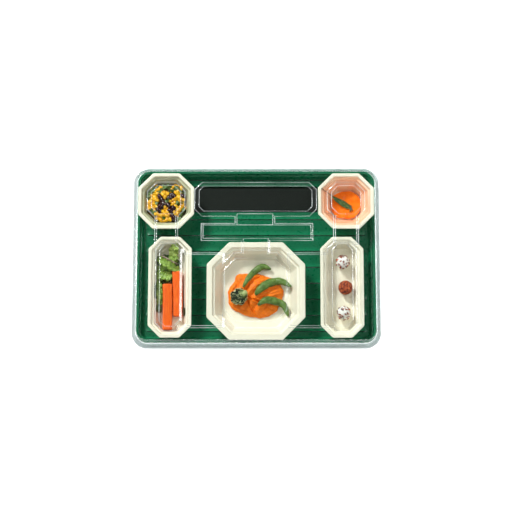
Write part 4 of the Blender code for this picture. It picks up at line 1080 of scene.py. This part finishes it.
rng = np.random.default_rng(21)
kernel_share = np.sqrt((np.arange(KERNEL_COUNT) + 0.5) / KERNEL_COUNT)
kernel_turn = (GOLDEN_TURN * np.arange(KERNEL_COUNT)) % (2 * math.pi)
kernel_spots = np.stack([np.cos(kernel_turn), np.sin(kernel_turn)], -1)
kernel_reach = KERNEL_REACH * np.minimum(1.0 / np.abs(kernel_spots).max(1), 1.13)
kernel_reach = kernel_reach * (1 - 0.20 * np.exp(-((kernel_turn - 3.93) / 0.34) ** 2))
kernel_spots = kernel_spots * (kernel_share * kernel_reach)[:, None]
kernel_spots = kernel_spots + rng.normal(0, 0.0009, (KERNEL_COUNT, 2)) + left_bowl.centre
clear_of = np.concatenate([BEAN_SPOTS, GREEN_SPOTS])
room = np.linalg.norm(kernel_spots[:, None] - clear_of, axis=2)
keep = (room[:, :len(BEAN_SPOTS)].min(1) > 0.0042) & (room[:, len(BEAN_SPOTS):].min(1) > 0.0030)
far_edge = (kernel_spots[:, 1] - left_bowl.centre[1] > 0.014) & (rng.random(KERNEL_COUNT) < 0.6)
kernel_spots = kernel_spots[keep & ~far_edge]
many = len(kernel_spots)
kernel_z = salad_top(*kernel_spots.T) + rng.uniform(-0.0016, 0.0014, many)
kernel_spots = np.column_stack([kernel_spots, kernel_z])
kernel_turns = facing(rng.normal(size=(many, 3)) * 0.55 + (0, 0, 1), rng.uniform(0, 2 * math.pi, many))
kernel_sizes = rng.uniform(0.0030, 0.0041, (many, 1)) * rng.uniform(0.88, 1.12, (many, 3))
kernels = scattered(kernel(), kernel_spots, kernel_turns, kernel_sizes)

bean_places = np.column_stack([BEAN_SPOTS, salad_top(*BEAN_SPOTS.T) + 0.0012])
bean_turns = facing(np.array((0, 0, 1.0)) + rng.normal(0, 0.22, (len(BEAN_SPOTS), 3)), BEAN_TURNS)
bean_sizes = rng.uniform(0.0050, 0.0060, (len(BEAN_SPOTS), 1)) * np.ones(3)
beans = scattered(bean(), bean_places, bean_turns, bean_sizes)

green_places = np.column_stack([GREEN_SPOTS, salad_top(*GREEN_SPOTS.T) + 0.0016])
bits = []
for seed in range(4):
    some = green_places[seed::4]
    turns = facing(np.array((0, 0, 1.0)) + rng.normal(0, 0.35, (len(some), 3)), rng.uniform(0, 6, len(some)))
    sizes = rng.uniform(0.0034, 0.0048, (len(some), 1)) * np.ones(3)
    bits.append(scattered(leaf_bit(seed), some, turns, sizes))

corn_yellow = mottled("corn_yellow", (230, 3), (0.25, (0.50, 0.185, 0.003)), (0.5, (0.84, 0.42, 0.006)),
                      (0.75, (0.95, 0.60, 0.020)), rough=0.32, bumps=(0.1, 0.0002, 900, 2))
bean_maroon = mottled("bean_maroon", (200, 3), (0.3, (0.010, 0.002, 0.003)), (0.75, (0.060, 0.010, 0.012)),
                      rough=0.22)
# Painted shade: the core's near-black to brown stands for the shade in the gaps between the kernels.
core_painted_shade = mottled("salad_core", (300, 4, 0.6), (0.35, (0.022, 0.024, 0.005)),
                      (0.7, (0.16, 0.085, 0.008)), rough=0.6, bumps=(0.4, 0.001))
put("salad_core", salad_core(), core_painted_shade, "corn_salad", "corn_salad")
put("salad_kernels", kernels, corn_yellow, "corn_salad", "corn_salad")
put("salad_beans", beans, bean_maroon, "corn_salad", "corn_salad")
put("salad_green_bits", joined(*bits), leaf_materials["deep"], "corn_salad", "corn_salad")


# The puree
# A shallow pool of smooth orange puree in the right bowl, thick enough to stand with a round edge, its top
# wiped into faint curves.

PUREE_LEVEL = DISH_Z + 0.0060
PUREE_HALF = 0.0214
PUREE_POWER = 2.4
puree_turn = np.linspace(0, 2 * math.pi, 150, endpoint=False)
puree_wide, puree_deep = np.abs(np.cos(puree_turn)), np.abs(np.sin(puree_turn))
puree_reach = PUREE_HALF * (puree_wide ** PUREE_POWER + puree_deep ** PUREE_POWER) ** (-1 / PUREE_POWER)
puree_reach = puree_reach + 0.0003 * np.sin(5 * puree_turn + 1) + 0.0002 * np.sin(11 * puree_turn)
puree_low = DISH_Z + DISH_FLOOR + GAP
puree_sections = ease([(0.02, puree_low), (0.83, puree_low), (0.90, puree_low + 0.0010),
                       (1.0, PUREE_LEVEL - 0.0012), (0.985, PUREE_LEVEL - 0.0002), (0.94, PUREE_LEVEL),
                       (0.6, PUREE_LEVEL + 0.0003)], 0.0007, 4)[:-1]
puree_share = np.concatenate([puree_sections[:, :1], np.linspace(0.93, 0.02, 34)[:, None]])
puree_z = np.concatenate([puree_sections[:, 1:], PUREE_LEVEL + 0.0004 * np.linspace(0.4, 1, 34)[:, None]])
puree_climb = np.clip((puree_z - puree_low) / (PUREE_LEVEL - puree_low), 0, 1)
puree_middle = right_bowl.centre[0] + 0.0019 * puree_climb
puree_bank = 0.0022 * puree_climb * puree_share ** 2 * np.maximum(np.cos(puree_turn), 0)
puree_rings = np.stack([puree_middle + puree_share * puree_reach * np.cos(puree_turn),
                        right_bowl.centre[1] + puree_share * puree_reach * np.sin(puree_turn) * 0.96,
                        puree_z + puree_bank], -1)
smear = np.sin(np.hypot(puree_rings[..., 0] - 0.150, puree_rings[..., 1] - 0.050) * 2 * math.pi / 0.011)
smear = 0.00016 * smear + 0.0001 * ripple(puree_rings, 0.008, 4)
puree_rings[..., 2] += np.where(puree_z > PUREE_LEVEL - 0.0003, smear, 0)

puree_orange = mottled("puree_orange", (150, 4), (0.3, (0.93, 0.150, 0.006)), (0.7, (1.0, 0.235, 0.014)),
                       rough=0.2, bumps=(0.12, 0.0003, 500, 3))
put("puree_pool", tube(puree_rings), puree_orange, "puree", "puree")


# The herb
# One long narrow leaf laid on the puree, its wiry brown stalk up over the bowl's rim and its dark tip split
# into small curled points.

HERB_STALK = [(0.0942, 0.0957, 0.0410), (0.0974, 0.0941, 0.0378), (0.1035, 0.0916, 0.0300),
              (0.1105, 0.0880, 0.0228)]
HERB_BLADE = [(0.1095, 0.0886, 0.0236), (0.1170, 0.0840, 0.0180), (0.1290, 0.0772, 0.0152),
              (0.1372, 0.0724, 0.0148)]
HERB_TIPS = [[(0.1345, 0.0745, 0.0146), (0.1362, 0.0760, 0.0158), (0.1372, 0.0775, 0.0152)],
             [(0.1355, 0.0738, 0.0146), (0.1382, 0.0748, 0.0160), (0.1395, 0.0758, 0.0150)],
             [(0.1370, 0.0728, 0.0146), (0.1392, 0.0700, 0.0158), (0.1400, 0.0680, 0.0148)],
             [(0.1362, 0.0726, 0.0146), (0.1368, 0.0690, 0.0156), (0.1360, 0.0660, 0.0146)]]
herb_half = np.interp(np.linspace(0, 1, 40), (0, 0.25, 0.6, 0.85, 1),
                      (0.0008, 0.0027, 0.0044, 0.0036, 0.0012))


def blade_rings(route, half, count):
    """A narrow blade: loops out along its upper face and back along its lower, folded along its rib."""
    path = smooth_path(route, count)
    across, _ = frames_along(path)
    s = np.linspace(-1, 1, 15)[None]
    half = np.asarray(half).reshape(-1, 1) * np.ones((count, 1))
    top = path[:, None] + across * (half * s)[..., None]
    wave = np.sin(np.arange(count) * 0.9)[:, None]
    top[..., 2] += 0.28 * half * np.abs(s) - 0.0002 + 0.05 * half * wave * s
    low = top.copy()
    low[..., 2] -= 0.0004 * (1.15 - s ** 2)
    return np.concatenate([top, low[:, ::-1]], 1)


tip_half = np.interp(np.linspace(0, 1, 12), (0, 0.4, 1), (0.0010, 0.0011, 0.0004))
herb_shapes = [tube(blade_rings(HERB_BLADE, herb_half, 40))]
herb_shapes += [tube(blade_rings(tip, tip_half, 12)) for tip in HERB_TIPS]
stalk_route = smooth_path(HERB_STALK, 30)
stalk_wire = np.interp(np.arange(30), (0, 4, 29), (0.0004, 0.0005, 0.0008))


def herb_look(tree, shader, where):
    """Mid green in dark and pale patches, darker and browner towards the tip, which lies furthest right."""
    tip = add(tree, "SeparateXYZ", {"Vector": where}).outputs["X"]
    browner = span(tree, tip, (0.1330, 0.1375), (0.0, 0.85))
    tone = speckle(tree, where, 420, 4, 0.6)
    green = ramp(tree, tone, (0.3, (0.020, 0.050, 0.008)), (0.52, (0.050, 0.110, 0.018)),
                 (0.8, (0.20, 0.25, 0.09)))
    tree.links.new(blend(tree, browner, green, (0.055, 0.050, 0.010, 1)), shader.inputs["Base Color"])
    shader.inputs["Roughness"].default_value = 0.45
    relief(tree, shader, tone, 0.25, 0.0003)


put("herb_blade", joined(*herb_shapes), finish_with("herb_green", herb_look), "herb", "herb")
put("herb_stalk", tube(oval_rings(stalk_route, stalk_wire, stalk_wire, 10)),
    stem_finish("herb_stalk"), "herb", "herb")


# The three balls
# Small rolled balls in a row. The outer two are pale and stuck over with thin red-brown flakes; the middle
# one is rolled in dark red crumbs.

BALLS = [((0.1246, -0.0085), "white"), ((0.1282, -0.0457), "red"), ((0.1254, -0.0827), "white")]
BALL_RADIUS = 0.0096
BALL_LIFT = 0.0098
FLAKE_COUNT = 38
CRUMB_COUNT = 420


def rolled_ball(centre, seed):
    """A ball with hand-rolled lumps."""
    points, quads, fans = ball(30, 44)
    lumps = 1 + 0.016 * ripple(points, 1.1, seed) + 0.005 * ripple(points, 0.35, seed + 1)
    return points * lumps[:, None] * BALL_RADIUS + centre, quads, fans


def flake():
    """A thin chip about 1 across, with an uneven edge."""
    points, quads, fans = ball(4, 8)
    turn = np.arctan2(points[:, 1], points[:, 0])
    return points * (1 + 0.25 * np.sin(3 * turn + 1))[:, None] * (1, 0.6, 0.22), quads, fans


ball_white = mottled("ball_white", (420, 5, 0.6), (0.3, (0.76, 0.71, 0.64)), (0.6, (0.90, 0.88, 0.85)),
                     rough=0.6, bumps=(0.2, 0.0005))
ball_flakes = mottled("ball_flakes", (260, 2), (0.38, (0.035, 0.008, 0.004)), (0.50, (0.20, 0.030, 0.010)),
                      (0.62, (0.50, 0.085, 0.024)), rough=0.5)
ball_red = mottled("ball_red", (380, 4, 0.75), (0.40, (0.055, 0.006, 0.002)), (0.5, (0.33, 0.034, 0.009)),
                   (0.60, (0.80, 0.20, 0.055)), rough=0.55, bumps=(0.4, 0.0005))
for number, ((x, y), kind) in enumerate(BALLS, 1):
    rng = np.random.default_rng(60 + number)
    centre = np.array((x, y, PLATE_FLOOR_Z + GAP + BALL_LIFT))
    slot, node = f"ball_{kind}", f"ball_{number}"
    coat = ball_white if kind == "white" else ball_red
    put(f"ball_{number}_body", rolled_ball(centre, number * 3), coat, slot, node)
    if kind == "white":
        out = spread_over(FLAKE_COUNT, -0.15) + rng.normal(0, 0.14, (FLAKE_COUNT, 3))
        out /= np.linalg.norm(out, axis=1, keepdims=True)
        size = rng.uniform(0.0011, 0.0026, (FLAKE_COUNT, 1)) * (1, 1, 1.4)
        turns = facing(out + rng.normal(0, 0.25, out.shape), rng.uniform(0, 6, FLAKE_COUNT))
        flakes = scattered(flake(), centre + out * BALL_RADIUS * 1.03, turns, size)
        put(f"ball_{number}_flakes", flakes, ball_flakes, slot, node)
    else:
        out = spread_over(CRUMB_COUNT, -0.85) + rng.normal(0, 0.03, (CRUMB_COUNT, 3))
        out /= np.linalg.norm(out, axis=1, keepdims=True)
        size = rng.uniform(0.0005, 0.0011, (CRUMB_COUNT, 3))
        turns = facing(out, rng.uniform(0, 6, CRUMB_COUNT))
        crumbs = scattered(ball(3, 5), centre + out * BALL_RADIUS * 1.005, turns, size)
        put(f"ball_{number}_crumbs", crumbs, ball_red, slot, node)


# The lid
# One sheet of clear plastic drawn over a mould: a flange round the foot, a step that sits on the tray's
# rim, a flat deck, a raised panel over each dish and the well, and lower raised links between them. Its
# sizes are in millimetres.

LID_DECK_Z = 43.4
LID_THICKNESS = 0.5
PANEL_RISE = 4.6
LINK_RISE = 2.4
# Each raised form: centre, half size, the cut at its corners, the width of its slope and its rise.
LID_PANELS = [((-1.0, -53.5), (53.0, 54.0), 21.5, 8.5, PANEL_RISE),
              ((-123.0, -46.5), (20.5, 65.5), 12.0, 6.0, PANEL_RISE),
              ((122.5, -46.5), (20.5, 65.5), 12.0, 6.0, PANEL_RISE),
              ((-129.5, 77.5), (27.0, 27.0), 13.5, 6.0, PANEL_RISE),
              ((129.0, 77.5), (27.0, 27.0), 13.5, 6.0, PANEL_RISE),
              ((-1.0, 79.0), (87.5, 25.0), 10.5, 6.5, PANEL_RISE),
              ((-129.0, 35.0), (16.5, 22.0), 0.0, 2.8, LINK_RISE),
              ((128.5, 35.0), (18.0, 22.0), 0.0, 2.8, LINK_RISE),
              ((-2.0, 49.0), (28.5, 11.0), 0.0, 2.8, LINK_RISE),
              ((-1.0, 7.5), (20.5, 16.5), 0.0, 2.8, LINK_RISE),
              ((1.0, 31.0), (80.0, 12.5), 0.0, 2.8, LINK_RISE),
              ((-80.0, -53.5), (35.0, 54.0), 0.0, 2.8, LINK_RISE),
              ((80.0, -53.5), (35.0, 54.0), 0.0, 2.8, LINK_RISE)]
LID_EASE = 0.6
# Half length, half width, corner radius and height, from the deck's edge down to the flange's edge.
LID_LINE = [(169.5, 123.1, 15.5, 43.4), (170.7, 124.3, 16.5, 43.4), (171.6, 125.2, 17.0, 42.5),
            (171.8, 125.9, 17.2, 21.4), (173.4, 127.3, 18.0, 21.2), (174.9, 128.4, 19.0, 10.0),
            (176.6, 130.1, 20.3, 10.0), (177.0, 130.5, 20.6, 10.7), (178.0, 131.5, 21.3, 10.7),
            (179.0, 132.5, 22.0, 9.8), (179.0, 132.5, 22.0, 9.2)]


def soft_corner(value):
    """0 below the corner and the value above it, joined by a parabola one ease wide on either side."""
    near = (value + LID_EASE) ** 2 / (4 * LID_EASE)
    return np.where(value < -LID_EASE, 0, np.where(value > LID_EASE, value, near))


def lid_forms(x, y):
    """For each raised form, the distance inside its octagon, the width of its slope, the rise and the
    painted highlight on its creases, more on its left and right sides. It climbs over its slope as that
    distance grows, with a soft corner at the foot and at the top."""
    for centre, half, cut, slope, rise in LID_PANELS:
        dx, dy = half[0] - np.abs(x - centre[0]), half[1] - np.abs(y - centre[1])
        inside = np.minimum(np.minimum(dx, dy), (dx + dy - cut) / math.sqrt(2) if cut else dx)
        light = np.where(dx - inside < 0.001, 1.0, 0.45)
        yield inside, slope, rise / slope * (soft_corner(inside) - soft_corner(inside - slope)), light


def lid_height(x, y):
    """The deck, or the highest raised form there."""
    return LID_DECK_Z + np.max([rise for _, _, rise, _ in lid_forms(x, y)], axis=0)


def crease_share(x, y):
    """The painted highlight on a crease of the form that is highest there, falling evenly to 0 one ease away
    from it.
    """
    forms = list(lid_forms(x, y))
    highest = np.argmax([rise for _, _, rise, _ in forms], axis=0)
    apart = [np.minimum(np.abs(inside), np.abs(inside - slope)) for inside, slope, _, _ in forms]
    light = np.choose(highest, [side for *_, side in forms])
    return light * np.clip(1 - np.choose(highest, apart) / LID_EASE, 0, 1)


def form_loop(centre, half, cut, inset):
    """The form's outline drawn in by an inset, as corner points."""
    hx, hy, cut = half[0] - inset, half[1] - inset, max(cut - inset * (2 - math.sqrt(2)), 0) if cut else 0
    if not cut:
        corners = [(hx, -hy), (hx, hy), (-hx, hy), (-hx, -hy)]
    else:
        corners = [(hx - cut, -hy), (hx, cut - hy), (hx, hy - cut), (hx - cut, hy),
                   (cut - hx, hy), (-hx, hy - cut), (-hx, cut - hy), (cut - hx, -hy)]
    return np.array(corners) + centre


def lid_deck(boundary):
    """Triangles over the deck, with mesh lines laid along every crease of every form, so that slopes meet
    cleanly at any angle; heights come from lid_height."""
    spots, edges = [*boundary[:, :2]], []
    outline = list(range(len(boundary)))
    for centre, half, cut, slope, rise in LID_PANELS:
        levels = [-LID_EASE, 0, LID_EASE, slope - LID_EASE, slope, slope + LID_EASE]
        if rise > LINK_RISE:
            levels.append(slope * LINK_RISE / rise)
        starts = []
        for inset in sorted(levels):
            loop = form_loop(centre, half, cut, inset)
            first, count = len(spots), len(loop)
            spots += [*loop]
            edges += [(first + k, first + (k + 1) % count) for k in range(count)]
            starts.append(first)
        edges += [(a + k, b + k) for a, b in zip(starts, starts[1:]) for k in range(count)]
    spots = [Vector(map(float, p)) for p in spots]
    found, _, faces, *_ = geometry.delaunay_2d_cdt(spots, edges, [outline], 1, 0.002)
    x, y = np.array([tuple(p) for p in found]).T
    points = np.stack([x, y, lid_height(x, y)], 1) / 1000
    return points, np.zeros((0, 4), int), np.array([tuple(f) for f in faces])


lid_lines = oblong_frame(np.linspace(-0.9, 0.9, 7), np.linspace(-1, 1, 11), 14)
lid_loops = oblong_loops(lid_lines, ease(LID_LINE, 0.8, 4))
lid_shape = joined(lid_deck(lid_loops[0]), band_of(lid_loops / 1000))


def clear_plastic():
    """Thin clear sheet: what is behind it shows through a faint aqua tint, light glances off by Fresnel, the
    thick folded flange is milkier with painted shade towards the left, and creases carry a patchy painted
    highlight."""
    material = bpy.data.materials.new("lid_clear")
    material.use_nodes = True
    tree = material.node_tree
    tree.nodes.remove(tree.nodes["Principled BSDF"])
    where = add(tree, "TexCoord").outputs["Object"]
    place = add(tree, "SeparateXYZ", {"Vector": where}).outputs
    waves = add(tree, "Bump", {"Height": speckle(tree, where, 45, 2), "Strength": 0.07,
                               "Distance": 0.0006}).outputs["Normal"]
    through = add(tree, "BsdfTransparent", {"Color": (0.975, 0.992, 0.988, 1)}).outputs[0]
    glance = add(tree, "BsdfGlossy", {"Color": (1, 1, 1, 1), "Roughness": 0.05, "Normal": waves}).outputs[0]
    slant = add(tree, "LayerWeight", {"Blend": 0.06, "Normal": waves}).outputs["Facing"]
    # Painted shade: the flange's milk is darker towards the left side.
    along = span(tree, place["X"], (-0.178, -0.162), (0.0, 1.0))
    milk_painted_shade = ramp(tree, along, (0.0, (0.12, 0.18, 0.175)), (1.0, (0.29, 0.39, 0.38)))
    milk = add(tree, "BsdfDiffuse", {"Color": milk_painted_shade}).outputs[0]
    # Painted highlight: a pale diffuse along the creases, its strength uneven in patches.
    white = add(tree, "BsdfDiffuse", {"Color": (0.80, 0.86, 0.85, 1)}).outputs[0]
    crease = add(tree, "Attribute", attribute_name="crease").outputs["Fac"]
    painted_highlight_patches = span(tree, speckle(tree, where, 30, 2), (0.35, 0.65), (0.22, 0.66))
    body = through
    for share, over in ((span(tree, slant, (0.0, 1.0), (0.035, 0.8)), glance),
                        (product(tree, crease, painted_highlight_patches), white),
                        (span(tree, place["Z"], (0.0205, 0.0185), (0.0, 0.46)), milk)):
        body = add(tree, "MixShader", {0: share, 1: body, 2: over}).outputs["Shader"]
    tree.links.new(body, tree.nodes["Material Output"].inputs["Surface"])
    return material


lid = put("lid_sheet", lid_shape, clear_plastic(), "lid", "lid", sharp=20)
x, y, z = read_points(lid, "co").T * 1000
# The share of painted highlight along the creases of the deck and the forms.
mark_points(lid, "crease", np.where(z > LID_DECK_Z - 0.5, crease_share(x, y), 0))
wall = lid.modifiers.new("Sheet thickness", "SOLIDIFY")
wall.thickness = LID_THICKNESS / 1000
wall.offset = -1
settle_normals(lid)
